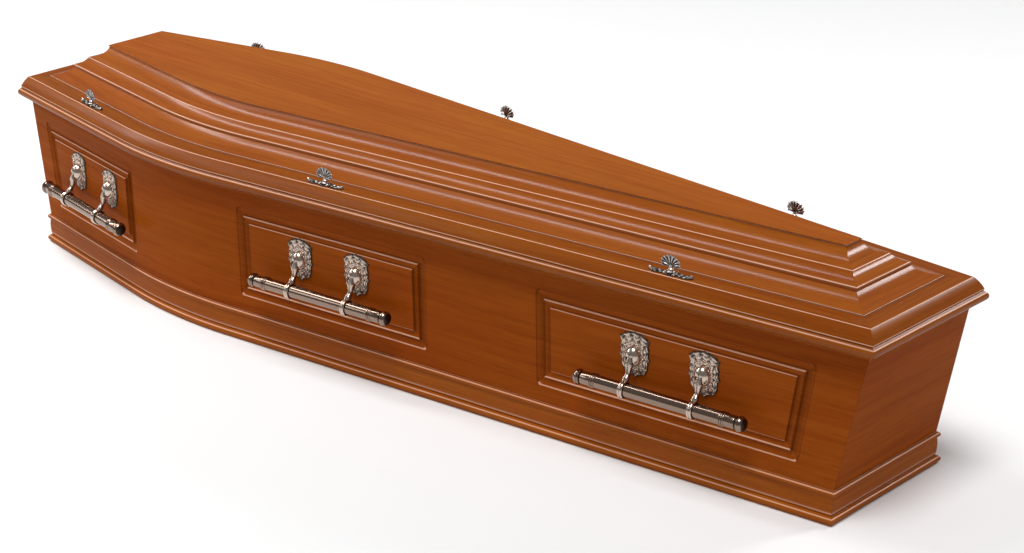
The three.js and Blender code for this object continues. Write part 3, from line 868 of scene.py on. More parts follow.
def build_top_board():
    """The flat top with its thin nosing, one board over the whole plan."""
    inset, nosing, steps = 145 * MM, 1.25 * MM, 8
    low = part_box("lid_top_panel")[0].z
    edge = LID_TOP - 2 * nosing
    levels = [(inset + 1.8 * MM, low), (inset + 1.8 * MM, edge)]
    for k in range(steps + 1):
        turn = math.pi * (k / steps - 0.5)
        levels.append((inset + nosing * (1 - math.cos(turn)), edge + nosing * (1 + math.sin(turn))))
    levels += [(inset + 3 * MM, LID_TOP), (inset + 9 * MM, LID_TOP)]
    vertices = []
    for depth, z in levels:
        half = half_plan(HEAD_END + depth, FOOT_END - depth, depth)
        ring = [(x, -y, z) for x, y, _ in half] + [(x, y, z) for x, y, _ in reversed(half)]
        vertices += ring
    count = len(ring)
    faces = grid_faces(0, len(levels), count, closed=True)
    for first in (0, (len(levels) - 1) * count):
        for i in range(count // 2 - 1):
            faces.append(tuple(first + k for k in (i, i + 1, count - 2 - i, count - 1 - i)))
    piece = new_object("top_board", vertices, faces)
    tidy_mesh(piece, weighted=True)
    points = np.array([v.co for v in piece.data.vertices])
    add_vectors(piece.data, "grain", points + (0.4, 1.3, 0.2))
    # The board's edge below the nosing is darkened as a painted shade line under the overhang.
    add_floats(piece.data, "stain", [1.0 if z < edge + 0.3 * MM else 0.0 for z in points[:, 2]])
    finish_piece(piece, wood("lid_wood"), "lid_wood", "root", "lid_top_panel")


# Routed side boards

PANELS = (
    (HEAD_END + 0.088, HEAD_END + 0.427, -HEAD_RAKE, 0.0),
    (SHOULDER_X + 0.175, SHOULDER_X + 0.604, 0.0, 0.0),
    (FOOT_END - 0.620, FOOT_END - 0.117, 0.0, 0.75 * FOOT_RAKE),
)
PANEL_LOW = 85 * MM
PANEL_HIGH = 255 * MM
PANEL_MIDDLE = (PANEL_LOW + PANEL_HIGH) / 2
PANEL_CORNER = 14 * MM
GROOVES = ((0.0, 16 * MM), (17.5 * MM, 29 * MM))
GROOVE_DEPTH = 3.2 * MM
GROOVE_STEPS = 9


def groove_lines():
    """Distances in from a panel's outer line, the depth of the cut there, and the painted light on it: stain and
    painted shade toward each step, painted highlight at the groove's outer edge and on each step's arris.
    """
    lines = [(-1.5 * MM, 0.0, 0.0)]
    for start, end in GROOVES:
        for k in range(GROOVE_STEPS + 1):
            share = k / GROOVE_STEPS
            depth = GROOVE_DEPTH * (1 - (1 - share) ** 2.4)
            lines.append((start + (end - start) * share, depth, 0.55 * share ** 8 - 0.85 * (k <= 1)))
        lines.append((end + 0.35 * MM, GROOVE_DEPTH * 0.72, 0.0))
        lines.append((end + 0.75 * MM, GROOVE_DEPTH * 0.20, -0.7))
        lines.append((end + 1.15 * MM, GROOVE_DEPTH * 0.03, -0.9))
        lines.append((end + 1.9 * MM, 0.0, 0.0))
    return lines


GROOVE_LINES = groove_lines()


def panel_depth(x, z):
    """Depth of the routed cut, and its stain and painted light, at a place on a side board."""
    tall = z - PANEL_MIDDLE
    for head, foot, head_lean, foot_lean in PANELS:
        along = min(x - head - head_lean * tall, foot + foot_lean * tall - x)
        up = min(z - PANEL_LOW, PANEL_HIGH - z)
        if min(along, up) <= 0:
            continue
        inside = min(along, up)
        if along < PANEL_CORNER and up < PANEL_CORNER:
            inside = PANEL_CORNER - math.hypot(PANEL_CORNER - along, PANEL_CORNER - up)
        inwards, cuts, stains_and_painted_light = zip(*GROOVE_LINES)
        depth, stain = np.interp(inside, inwards, cuts), np.interp(inside, inwards, stains_and_painted_light)
        # Upright lines are turned to painted shade, darker with depth; the top outer edge becomes a line of painted
        # shade; the bottom keeps its painted highlights.
        if along < up:
            stain = 0.35 * max(stain, 0.0) + 0.45 * depth / GROOVE_DEPTH + 0.5 * (stain < -0.05)
        elif tall > 0 and inside < 3 * MM:
            stain = 0.8 * abs(stain)
        return depth, stain
    return 0.0, 0.0


def spread(low, high, step):
    """Values between two limits, evenly spaced and leaving out both."""
    count = max(1, round((high - low) / step))
    return [low + (high - low) * k / count for k in range(1, count)]


def board_columns():
    """Lines up a side board, as (x at the panels' middle height, lean), close together in the grooves."""
    def leaning(start, end, step):
        share = (end[1] - start[1]) / (end[0] - start[0])
        return [(x, start[1] + share * (x - start[0])) for x in spread(start[0], end[0], step)]

    inwards = [distance for distance, _, _ in GROOVE_LINES]
    columns = [(head_wall_x(PANEL_MIDDLE) + MITRE_GAP, -HEAD_RAKE)]
    for head, foot, head_lean, foot_lean in PANELS:
        columns += leaning(columns[-1], (head + inwards[0], head_lean), 12 * MM)
        columns += [(head + distance, head_lean) for distance in inwards]
        columns += leaning(columns[-1], (foot - inwards[-1], foot_lean), 40 * MM)
        columns += [(foot - distance, foot_lean) for distance in reversed(inwards)]
    end = (foot_wall_x(PANEL_MIDDLE) - MITRE_GAP, FOOT_RAKE)
    return columns + leaning(columns[-1], end, 12 * MM) + [end]


def board_rows():
    """Heights of the lines along a side board, close together in the grooves."""
    inwards = [distance for distance, _, _ in GROOVE_LINES]
    return [
        BOARD_LOW, *spread(BOARD_LOW, PANEL_LOW, 30 * MM),
        *[PANEL_LOW + distance for distance in inwards],
        *spread(PANEL_LOW + inwards[-1], PANEL_HIGH - inwards[-1], 25 * MM),
        *[PANEL_HIGH - distance for distance in reversed(inwards)], BOARD_HIGH,
    ]


def build_side_board(side):
    columns, rows = board_columns(), board_rows()
    sign = SIDE_SIGN[side]
    vertices, grain, stain = [], [], []
    for x_middle, slope in columns:
        for z in rows:
            x = x_middle + slope * (z - PANEL_MIDDLE)
            half, lean = side_at(x, WALL_INSET)
            cut, held = panel_depth(x, z)
            vertices.append((x - cut * math.sin(lean), sign * (half - cut * math.cos(lean)), z))
            grain.append((x, z, 2.3 if side == "right" else 4.9))
            stain.append(held)
    front = len(vertices)
    for x_middle, slope in columns:
        for z in (rows[0], rows[-1]):
            first = head_wall_x(z) + WALL * math.hypot(1, HEAD_RAKE)
            last = foot_wall_x(z) - WALL * math.hypot(1, FOOT_RAKE)
            x = min(max(x_middle + slope * (z - PANEL_MIDDLE), first), last)
            half, _ = side_at(x, WALL_INSET + WALL)
            vertices.append((x, sign * half, z))
            grain.append((x, z, 0.7))
            stain.append(0.0)
    count = len(rows)
    faces = grid_faces(0, len(columns), count)
    for c in range(len(columns) - 1):
        low, next_low = front + 2 * c, front + 2 * c + 2
        faces.append((low, low + 1, next_low + 1, next_low))
        faces.append((c * count, low, next_low, (c + 1) * count))
        faces.append(((c + 1) * count - 1, (c + 2) * count - 1, next_low + 1, low + 1))
    last = (len(columns) - 1) * count
    back = front + 2 * (len(columns) - 1)
    faces.append((*range(count), front + 1, front))
    faces.append((*range(last, last + count), back + 1, back))
    piece = new_object(f"routed_side_{side}", vertices, faces)
    add_vectors(piece.data, "grain", grain)
    add_floats(piece.data, "stain", stain)
    tidy_mesh(piece, crease=math.radians(50))
    finish_piece(piece, wood("box_wood"), "box_wood", "root", f"side_board_{side}")


def dress_flat_boards():
    """The base and the two end boards keep their own solids and get their wood."""
    for node, axes in {"base_board": (0, 1, 2), "head_board": (1, 2, 0), "foot_board": (1, 2, 0)}.items():
        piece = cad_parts[node]
        piece.data.materials.clear()
        piece.data.materials.append(wood(f"{node}_wood", axes))


# Metalwork


def lathe(name, profile, segments=40):
    """Turns (radius, along) points round the x axis, with a closed point at each end."""
    vertices, faces = [], []
    rings = []
    for radius, along in profile:
        if radius <= 0:
            rings.append([len(vertices)])
            vertices.append((along, 0.0, 0.0))
            continue
        rings.append(list(range(len(vertices), len(vertices) + segments)))
        vertices += [(along, radius * math.cos(turn), radius * math.sin(turn)) for turn in round_angles(segments)]
    for first, second in zip(rings, rings[1:]):
        if len(first) == 1:
            faces += [(first[0], second[k], second[(k + 1) % segments]) for k in range(segments)]
        elif len(second) == 1:
            faces += [(first[k], second[0], first[(k + 1) % segments]) for k in range(segments)]
        else:
            faces += ring_pair_faces(first, second)
    return new_object(name, vertices, faces)


BAND_PLACE = 120 * MM
BAND_RISE = 1.5 * MM
CAP_DEPTH = 10.6 * MM
# The neck before each cap, in mm: its rise over the bar and its distance back from the bar's end
CAP_NECK = ((-0.4, 17), (-2.4, 15.8), (-2.4, 14.2), (0.4, 13.4), (0.9, 12.4), (0.4, 11.4), (0.6, 11.0))


def bar_profile():
    """The straight bar: a triple band near each end, a groove, and a mushroom cap."""
    sizes = bpy.context.scene.coffin_metal
    radius = sizes.bar_radius
    end = sizes.bar_length / 2
    half = []
    for centre in (-3.4 * MM, 0.0, 3.4 * MM):
        half.append((radius, BAND_PLACE + centre - 1.7 * MM))
        for k in range(7):
            turn = math.pi * k / 6
            half.append((radius + BAND_RISE * math.sin(turn), BAND_PLACE + centre - BAND_RISE * math.cos(turn)))
    half += [(radius, BAND_PLACE + 5.2 * MM), (radius, end - 18 * MM)]
    half += [(radius + rise * MM, end - back * MM) for rise, back in CAP_NECK]
    for k in range(10):
        turn = math.pi / 2 * k / 10
        reach = (radius + 2 * MM) * math.cos(turn) ** 0.8
        half.append((reach, end - CAP_DEPTH * (1 - math.sin(turn))))
    half.append((0.0, end))
    return [(r, -a) for r, a in reversed(half)] + half


def set_relief(piece, values):
    """Relief for each vertex, or one value for all of them."""
    add_floats(piece.data, "relief", np.clip(values, 0.0, 1.0) + np.zeros(len(piece.data.vertices)))
    return piece


PLATE_HALF = (
    (0, 1), (0.4, 0.95), (0.8, 0.8), (1, 0.7), (0.82, 0.54), (0.91, 0.3), (0.86, 0.04),
    (0.98, -0.1), (0.82, -0.24), (0.83, -0.52), (0.62, -0.8), (0.28, -0.86), (0, -1),
)
PLATE_WIDTH = 59 * MM
PLATE_HEIGHT = 76 * MM
PLATE_ROUND = 132
PLATE_RINGS = 30


def plate_reach(turn):
    """Distance from the plate's middle to its leafy edge, turn being measured from the crown."""
    points = [Vector((x * PLATE_WIDTH / 2, z * PLATE_HEIGHT / 2)) for x, z in PLATE_HALF]
    folded = abs((turn + math.pi) % (2 * math.pi) - math.pi)
    angles = [math.atan2(p.x, p.y) for p in points]
    return float(np.interp(folded, angles, [p.length for p in points]))


def plate_height(across, up, share, turn):
    """Relief of the leafwork over the wood: curled leaves, their veins, a rolled edge and a pebbled ground."""
    spoke = turn * 13 + 1.6 * math.sin(share * 6.5)
    leaves = 0.5 + 0.5 * math.cos(spoke)
    veins = bell(math.sin(spoke / 2), 0, 0.16)
    body = math.sin(math.pi * min(1.0, max(0.0, (share - 0.30) / 0.66))) ** 0.7
    rise = 1.7 * MM + 1.6 * MM * (1 - share)
    leaf = (1.1 * MM * leaves ** 0.8 - 0.6 * MM * veins) * body
    curl = 0.35 * MM * math.cos(share * 34 + 1.5 * math.cos(spoke)) * body
    edge = 0.9 * MM * bell(share, 0.93, 0.05) * (0.4 + 0.6 * leaves)
    ring = 1.2 * MM * bell(share, 0.53, 0.045)
    pebble = 0.7 * MM * noise.noise(Vector((across, up, 0.3)) * 640)
    fine = 0.3 * MM * noise.noise(Vector((across, up, 1.7)) * 1300)
    fade = min(1.0, (1 - share) / 0.05)
    return (rise + (leaf + curl + ring + pebble + fine) * fade + edge * fade) * (0.35 + 0.65 * fade)


def plate_mesh():
    """A cast back plate about its pivot, x along the side, -y out of it."""
    vertices, relief = [(0, -5 * MM, 0)], [0.5]
    for k in range(1, PLATE_RINGS + 1):
        share = k / PLATE_RINGS
        for turn in round_angles(PLATE_ROUND):
            reach = plate_reach(turn) * share * (1 + 0.022 * math.cos(turn * 22) * share ** 4)
            across, up = reach * math.sin(turn), reach * math.cos(turn)
            out = plate_height(across, up, share, turn)
            vertices.append((across, -out, up))
            relief.append((out - 1.6 * MM) / (1.9 * MM))
    faces = [(0, 1 + j, 1 + (j + 1) % PLATE_ROUND) for j in range(PLATE_ROUND)]
    faces += grid_faces(1, PLATE_RINGS, PLATE_ROUND, closed=True)
    rim = range(len(vertices) - PLATE_ROUND, len(vertices))
    close_back(vertices, relief, faces, rim, 1, -0.3 * MM, 0.1)
    return set_relief(new_object("plate", vertices, faces), relief)


HOOD_SEAT = 1.2 * MM
HOOD_SLOT_WIDTH = 12 * MM
HOOD_SLOT_LENGTH = 40 * MM
HOOD_SLOT_BACK = 5.5 * MM
HOOD_SLOT_TOP = 6.8 * MM


def hood_mesh():
    """The domed hood over a pivot, open below for the swing arm."""
    sizes = bpy.context.scene.coffin_metal
    rings, segments = 22, 44
    vertices, relief = [], []
    for k in range(rings + 1):
        tilt = math.pi / 2 * k / rings
        for turn in round_angles(segments):
            x = math.sin(tilt) * math.sin(turn)
            up = math.sin(tilt) * math.cos(turn)
            fullness = 1 + 0.16 * max(0.0, -up)
            drawn = 1.0 - 0.10 * max(0.0, up) ** 2
            vertices.append((
                sizes.hood_radius * x * fullness * drawn,
                -HOOD_SEAT - (sizes.hood_out - HOOD_SEAT) * max(0.0, math.cos(tilt)) ** 0.85,
                sizes.hood_height * (up - 0.05),
            ))
            relief.append(0.95 - 0.55 * (k / rings) ** 6)
    faces = grid_faces(0, rings + 1, segments, closed=True)
    edge = range(len(vertices) - segments, len(vertices))
    close_back(vertices, relief, faces, edge, 1, -0.4 * MM, 0.2)
    dome = set_relief(new_object("hood", vertices, faces), relief)
    tidy_mesh(dome)
    slot = bpy.data.meshes.new("hood_slot")
    shell = bmesh.new()
    bmesh.ops.create_cube(shell, size=1.0)
    bmesh.ops.scale(shell, verts=shell.verts, vec=(HOOD_SLOT_WIDTH, HOOD_SLOT_LENGTH, HOOD_SLOT_LENGTH))
    bmesh.ops.bevel(shell, geom=[e for e in shell.edges if abs(e.verts[0].co.y - e.verts[1].co.y) > 1 * MM],
                    offset=5.5 * MM, segments=6, affect="EDGES")
    middle = (0, -HOOD_SLOT_BACK - HOOD_SLOT_LENGTH / 2, HOOD_SLOT_TOP - HOOD_SLOT_LENGTH / 2)
    bmesh.ops.translate(shell, verts=shell.verts, vec=middle)
    shell.to_mesh(slot)
    shell.free()
    cutter = linked("hood_slot", slot)
    opening = dome.modifiers.new("Opening", "BOOLEAN")
    opening.operation = "DIFFERENCE"
    opening.solver = "EXACT"
    opening.object = cutter
    apply_modifiers(dome)
    discard(cutter)
    lips = dome.modifiers.new("Soft lip", "BEVEL")
    lips.limit_method = "ANGLE"
    lips.angle_limit = math.radians(50)
    lips.width = 0.5 * MM
    lips.segments = 2
    apply_modifiers(dome)
    return dome


def plate_beads():
    """A ring of cast beads between the hood and the plate's edge."""
    steps, share, out = 90, 0.62, 4.2 * MM
    points = []
    for turn in round_angles(steps):
        reach = plate_reach(turn) * share
        points.append((reach * math.sin(turn), -out, reach * math.cos(turn)))
    piece = wire_object("beads", points, [(i, (i + 1) % steps) for i in range(steps)])
    run_tree(piece, beading_tree(), {
        "Spacing": 3.0 * MM, "Radius": 1.1 * MM, "Unevenness": 0.22, "Seed": 62, "Material": metal("handle_metal"),
    })
    piece.data.materials.clear()
    return set_relief(piece, 0.75)


def bezier(a, b, c, d, share):
    a, b, c, d = (Vector(p) for p in (a, b, c, d))
    first, second, third = a.lerp(b, share), b.lerp(c, share), c.lerp(d, share)
    return first.lerp(second, share).lerp(second.lerp(third, share), share)


def arm_mesh():
    """The cast swing arm from its knuckle in the hood to the ring round the bar."""
    sizes = bpy.context.scene.coffin_metal
    out, drop = sizes.bar_out - PIVOT_OUT, sizes.bar_drop
    ring_outer = sizes.bar_radius + 3.6 * MM
    steps, sides = 34, 28
    top, low = (0.5 * MM, 2.5 * MM), (out - 2.0 * MM, -drop + ring_outer - 2.5 * MM)
    bends = ((4.5 * MM, -14 * MM), (1.5 * MM, -22 * MM))
    vertices, relief = [], []
    for k in range(steps + 1):
        share = k / steps
        here = bezier(top, *bends, low, share)
        ahead = bezier(top, *bends, low, min(1.0, share + 0.01)) - bezier(top, *bends, low, max(0.0, share - 0.01))
        ahead.normalize()
        front = Vector((-ahead.y, ahead.x))
        if front.x < 0:
            front = -front
        leaf = bell(share, 0.36, 0.16)
        waist = bell(share, 0.72, 0.10)
        collar = bell(share, 0.90, 0.05)
        close = min(1.0, math.sin(math.pi * min(1.0, (share + 0.02) * 6) / 2)) if share < 0.15 else 1.0
        wide = (5.0 + 1.5 * leaf - 1.1 * waist + 1.0 * collar) * MM * close
        thick = (4.8 + 1.0 * leaf - 0.8 * waist + 0.9 * collar) * MM * close
        for turn in round_angles(sides):
            lobes = 0.5 - 0.5 * math.cos(4 * turn)
            tooth = 0.5 + 0.5 * math.cos(share * 52 + 5 * math.cos(turn))
            swell = 1 + 0.26 * (lobes - 0.5) * (0.35 + leaf) + 0.08 * tooth * leaf * abs(math.sin(turn))
            y = math.cos(turn) * thick * swell
            x = math.sin(turn) * wide * swell
            centre = here + front * y
            vertices.append((x, -(PIVOT_OUT + centre.x), centre.y))
            relief.append(0.30 + 0.55 * lobes + 0.2 * tooth * leaf)
    faces = grid_faces(0, steps + 1, sides, closed=True)
    faces.append(tuple(range(sides)))
    faces.append(tuple(steps * sides + j for j in range(sides)))
    shaft = set_relief(new_object("arm", vertices, faces), relief)
    tidy_mesh(shaft, crease=math.radians(60))
    ring = moved(ring_mesh(sizes.bar_radius + 0.35 * MM, ring_outer, 9 * MM), 0, -sizes.bar_out, -drop)
    ball = moved(ball_mesh(2.4 * MM), 0, -sizes.bar_out - ring_outer * 0.80, -drop + ring_outer * 0.62)
    lower_ball = moved(ball_mesh(2.0 * MM), 0, -sizes.bar_out + 1 * MM, -drop - ring_outer - 0.6 * MM)
    knuckle = lathe("knuckle", [
        (0, -4.4 * MM), (3.6 * MM, -4.4 * MM), (4.6 * MM, -3.4 * MM), (5.0 * MM, -1.2 * MM), (4.5 * MM, 0.0),
        (5.0 * MM, 1.2 * MM), (4.6 * MM, 3.4 * MM), (3.6 * MM, 4.4 * MM), (0, 4.4 * MM),
    ], 20)
    set_relief(moved(knuckle, 0, -PIVOT_OUT, 0), 0.35)
    return joined("arm", shaft, ring, ball, lower_ball, knuckle)


def ball_mesh(radius):
    profile = [(radius * math.sin(math.pi * k / 10), -radius * math.cos(math.pi * k / 10)) for k in range(11)]
    profile[0], profile[-1] = (0, -radius), (0, radius)
    return set_relief(lathe("ball", profile, 16), 0.95)


def ring_mesh(inner, outer, width):
    """A collar round the bar: two rounded bands with a hollow between them."""
    section = []
    for k in range(25):
        share = k / 24
        across = -width / 2 + width * share
        bulge = abs(math.sin(2 * math.pi * share)) ** 0.7
        section.append((inner + (outer - inner) * (0.45 + 0.55 * bulge), across))
    section = [(inner, -width / 2), *section, (inner, width / 2)]
    segments = 44
    vertices, relief = [], []
    for turn in round_angles(segments):
        for radius, along in section:
            vertices.append((along, radius * math.cos(turn), radius * math.sin(turn)))
            relief.append((radius - inner) / (outer - inner) * 1.1)
    count = len(section)
    faces = grid_faces(0, segments, count, closed=True)
    faces += ring_pair_faces(range((segments - 1) * count, segments * count), range(count))
    return set_relief(new_object("ring", vertices, faces), relief)


def build_handles():
    sizes = bpy.context.scene.coffin_metal
    plate = joined("plate", plate_mesh(), hood_mesh(), plate_beads())
    plate.data.set_sharp_from_angle(angle=math.radians(70))
    arm = arm_mesh()
    tidy_mesh(arm, crease=math.radians(60))
    bar = lathe("bar", bar_profile(), 56)
    radii = np.array([math.hypot(v.co.y, v.co.z) for v in bar.data.vertices])
    set_relief(bar, 0.75 + (radii - sizes.bar_radius) / (3 * MM))
    tidy_mesh(bar, crease=math.radians(50))
    moved(bar, 0, -sizes.bar_out, -sizes.bar_drop)
    for side in SIDES:
        for place in PLACES:
            seat = side_matrix(side, HANDLE_X[place], WALL_INSET, PIVOT_HEIGHT)
            body = f"handle_{side}_{place}"
            for end in ENDS:
                towards_head = (end == "head") == (side == "right")
                along = (-0.5 if towards_head else 0.5) * sizes.arm_spacing
                at = seat @ Matrix.Translation((along, 0, 0))
                key = f"{side}_{place}_{end}"
                set_copy(plate, f"cast_plate_{key}", at, "handle_metal", "handle_metal", "root", f"back_plate_{key}")
                set_copy(arm, f"cast_arm_{key}", at, "handle_metal", "handle_metal", body, f"swing_arm_{key}")
            key = f"{side}_{place}"
            set_copy(bar, f"turned_bar_{key}", seat, "bar_metal", "handle_metal", body, f"handle_bar_{key}")
    discard(plate, arm, bar)


# Thumb screws

WING_BALLS = ((-9, -5.2, 2.3), (9, -5.2, 2.3), (-9, 5.2, 2.3), (9, 5.2, 2.3), (-21, 0, 2.2), (21, 0, 2.2))
WING_HALF = ((0, 1), (0.12, 0.85), (0.22, 0.42), (0.42, 0.5), (0.6, 0.8), (0.78, 0.6), (1, 0.15))


def wing_plate_mesh():
    """Two leaves spread on the ledge from a round middle, their tips curled up."""
    sizes = bpy.context.scene.coffin_metal
    columns, rows = 96, 15
    vertices, relief = [], []
    for c in range(columns + 1):
        share = -1 + 2 * c / columns
        along = math.copysign(abs(share) ** 0.9, share)
        half = float(np.interp(abs(along), [x for x, _ in WING_HALF], [y for _, y in WING_HALF]))
        half *= sizes.wing_width / 2 * (1 + 0.06 * math.cos(abs(along) * 40))
        for r in range(rows):
            across = -1 + 2 * r / (rows - 1)
            dome = math.sqrt(max(0.0, 1 - across * across))
            spine = bell(across, 0, 0.22) * 0.9
            tip = max(0.0, abs(along) - 0.72) / 0.28
            lobes = 0.5 + 0.5 * math.cos(abs(along) * 26 + 2.2 * abs(across))
            veined = 1.1 * lobes * dome * min(1.0, abs(along) * 4)
            up = (0.8 + 1.5 * dome + 0.7 * spine + veined + 2.6 * tip ** 1.5) * MM
            vertices.append((along * sizes.wing_length / 2, across * half, up))
            relief.append(0.10 + 0.55 * dome * lobes + 0.5 * tip + 0.25 * spine)
    faces = grid_faces(0, columns + 1, rows)
    loop = [c * rows for c in range(columns + 1)] + [columns * rows + r for r in range(1, rows)]
    loop += [c * rows + rows - 1 for c in range(columns - 1, -1, -1)] + list(range(rows - 2, 0, -1))
    close_back(vertices, relief, faces, loop, 2, 0.3 * MM, 0.0)
    leaf = set_relief(new_object("wing", vertices, faces), relief)
    tidy_mesh(leaf, crease=math.radians(60))
    balls = [moved(ball_mesh(radius * MM), x * MM, y * MM, 2.4 * MM) for x, y, radius in WING_BALLS]
    return joined("wing", leaf, *balls)


# The turned stem below a shell, in mm: radius and height over the plate
STEM_TURNINGS = (
    (0, 0), (6, 0), (6.2, 0.8), (5.4, 1.8), (3.6, 2.8), (3.2, 4.2), (4.2, 5.0), (4.4, 5.8), (3.6, 6.6),
)
SHELL_SWEEP = math.radians(236)


def shell_mesh():
    """A ribbed scallop grip on a short turned stem."""
    sizes = bpy.context.scene.coffin_metal
    foot = 3.6 * MM
    shell_foot = foot + sizes.stem_height
    turned = [(radius * MM, foot + up * MM) for radius, up in STEM_TURNINGS]
    stem = lathe("stem", [
        *turned, (3.3 * MM, shell_foot), (2.6 * MM, shell_foot + 4 * MM), (0, shell_foot + 5 * MM),
    ], 24)
    stem.data.transform(Matrix.Rotation(-math.pi / 2, 4, "Y"))
    set_relief(stem, 0.7)
    rings, spokes = 16, 84
    vertices, relief = [], []
    for face in (1, -1):
        for k in range(rings + 1):
            share = k / rings
            for j in range(spokes + 1):
                turn = SHELL_SWEEP * (j / spokes - 0.5)
                rib = 0.5 + 0.5 * math.cos(sizes.shell_ribs * 2 * math.pi * j / spokes)
                reach = share * (0.93 + 0.07 * rib ** 0.5)
                x = math.sin(turn) * reach * sizes.shell_width / 2
                z = shell_foot + sizes.shell_height * (0.10 + (0.25 + 0.65 * math.cos(turn)) * reach)
                thick = (1.0 + 1.5 * rib * math.sin(math.pi * min(1.0, share * 0.9)) ** 0.8
                         + 0.5 * (1 - share)) * MM * (1 - 0.55 * share ** 10)
                cup = 2.2 * MM * (share ** 2 - 0.4)
                vertices.append((x, face * thick - cup, z))
                relief.append(0.05 + 0.75 * rib * math.sin(math.pi * share * 0.9) + 0.5 * share ** 12)
    count = (rings + 1) * (spokes + 1)
    faces = grid_faces(0, rings + 1, spokes + 1) + grid_faces(count, rings + 1, spokes + 1)
    edge = [rings * (spokes + 1) + j for j in range(spokes + 1)]
    ends = [[k * (spokes + 1) + j for k in range(rings + 1)] for j in (0, spokes)]
    for line in (edge, *ends):
        for a, b in zip(line, line[1:]):
            faces.append((a, b, b + count, a + count))
    fan = set_relief(new_object("fan", vertices, faces), relief)
    tidy_mesh(fan, crease=math.radians(70))
    return joined("grip", fan, stem)


def build_thumb_screws():
    wing = wing_plate_mesh()
    grip = shell_mesh()
    for side in SIDES:
        for place in PLACES:
            seat = side_matrix(side, SCREW_X[place], SCREW_INSET, LEDGE)
            key = f"{side}_{place}"
            set_copy(wing, f"leaf_plate_{key}", seat, "screw_metal", "screw_metal", "root", f"screw_plate_{key}")
            body = f"screw_{key}"
            set_copy(grip, f"shell_screw_{key}", seat, "screw_metal", "screw_metal", body, f"thumb_screw_{key}")
    discard(wing, grip)


# Stage

KEY_SPREAD = math.radians(24)
SENSOR_WIDTH = 36.0
FAR_CLIP = 60.0
# For each area light: its place, the spot that it faces, its width and height, and the setting for its power
AREA_LIGHTS = {
    "strip": ((-2.6, -0.75, 2.6), (-1.4, -0.2, 0.3), (0.45, 4.6), "strip_power"),
    "head_side": ((-2.6, -2.4, 2.1), (-0.3, -0.25, 0.35), (1.6, 1.0), "head_power"),
    "foot_side": ((2.0, 2.4, 1.9), (0.9, 0.0, 0.35), (0.62, 0.62), "foot_power"),
}


def aimed(name, data, place, aim, axis="-Z"):
    """A light at a place, its axis turned along the aim."""
    holder = linked(name, data)
    holder.location = place
    holder.rotation_euler = aim.to_track_quat(axis, "Y").to_euler()


def area_light(name, place, target, size, power):
    lamp = bpy.data.lights.new(name, "AREA")
    lamp.shape = "RECTANGLE"
    lamp.size, lamp.size_y = size
    lamp.energy = power
    aimed(name, lamp, place, Vector(target) - Vector(place))


def build_stage():
    scene = bpy.context.scene
    stage = scene.coffin_stage
    reach = stage.floor_reach
    corners = [(-reach, -reach, 0), (reach, -reach, 0), (reach, reach, 0), (-reach, reach, 0)]
    floor = new_object("floor", corners, [(0, 1, 2, 3)])
    floor.data.materials.append(floor_material(stage.floor_colour))
    world = bpy.data.worlds.new("studio")
    world.use_nodes = True
    background = world.node_tree.nodes["Background"]
    background.inputs["Color"].default_value = (*stage.world_colour, 1.0)
    background.inputs["Strength"].default_value = stage.world_strength
    scene.world = world
    scene.view_settings.view_transform = "Standard"
    key = bpy.data.lights.new("key", "SUN")
    key.energy = stage.key_power
    key.angle = KEY_SPREAD
    aimed("key", key, (0, 0, 0), Vector(stage.key_direction), "Z")
    for name, (place, target, size, power) in AREA_LIGHTS.items():
        area_light(name, place, target, size, getattr(stage, power))
    view = bpy.data.cameras.new("photo_view")
    view.lens = stage.lens
    view.sensor_width = SENSOR_WIDTH
    view.clip_end = FAR_CLIP
    camera = linked("photo_view", view)
    camera.location = stage.camera_place
    camera.rotation_euler = Euler([math.radians(v) for v in stage.camera_turn])
    scene.camera = camera


# Sizes and colours that a user would change


def colour_setting(name, description, default):
    return bpy.props.FloatVectorProperty(
        name=name, description=description, subtype="COLOR", size=3, min=0, max=1, default=default)


def factor_setting(name, description, default):
    return bpy.props.FloatProperty(
        name=name, description=description, subtype="FACTOR", min=0, max=1, default=default)


def strength_setting(name, description, default):
    return bpy.props.FloatProperty(name=name, description=description, min=0, default=default)


def length_setting(name, description, default):
    return bpy.props.FloatProperty(name=name, description=description, unit="LENGTH", min=0, default=default)


class CoffinFinish(bpy.types.PropertyGroup):
    dark: colour_setting("Dark grain", "Colour of the darkest streaks", (0.258, 0.057, 0.003))
    middle: colour_setting("Middle grain", "Main colour of the stained wood", (0.318, 0.080, 0.005))
    light: colour_setting("Light grain", "Colour of the lightest streaks", (0.376, 0.107, 0.009))
    red_tint: colour_setting("Red tint", "Tint of the redder patches", (0.95, 0.84, 0.80))
    yellow_tint: colour_setting("Yellow tint", "Tint of the yellower patches", (1.0, 1.0, 1.0))
    tint_strength: factor_setting("Tint strength", "How much the patches differ", 0.9)
    raised_tone: colour_setting(
        "Moulding tone", "Tone of the stepped moulding beside the top board", (0.94, 0.94, 0.90))
    rim_tone: colour_setting("Rim tone", "Tone of the rim beside the raised lid", (0.74, 0.71, 0.55))
    plinth_tone: colour_setting("Plinth tone", "Tone of the plinth beside the raised lid", (0.96, 0.92, 0.80))
    # Darker, redder tone of the boards, partly painted shade for their upright faces.
    box_tone_and_shade: colour_setting("Box tone", "Tone of the box beside the raised lid", (0.87, 0.74, 0.80))
    # Tone in hollows, for stain and painted shade alike.
    hollow_stain_and_shade: factor_setting("Stain in hollows", "Tone left where the stain gathers", 0.35)
    wood_roughness: factor_setting("Wood roughness", "Roughness below the lacquer", 0.32)
    lacquer: factor_setting("Lacquer", "Strength of the gloss coat", 0.32)
    box_lacquer: factor_setting("Box lacquer", "Strength of the gloss coat on the boards", 0.05)
    # How far arrises go toward the bare wood colour, and that colour: wear and painted highlight lines.
    edge_wear_and_highlight: factor_setting("Rubbed edges", "How bare the arrises are", 0.85)
    bare_wood: colour_setting("Bare wood", "Colour of the rubbed arrises", (0.78, 0.47, 0.33))


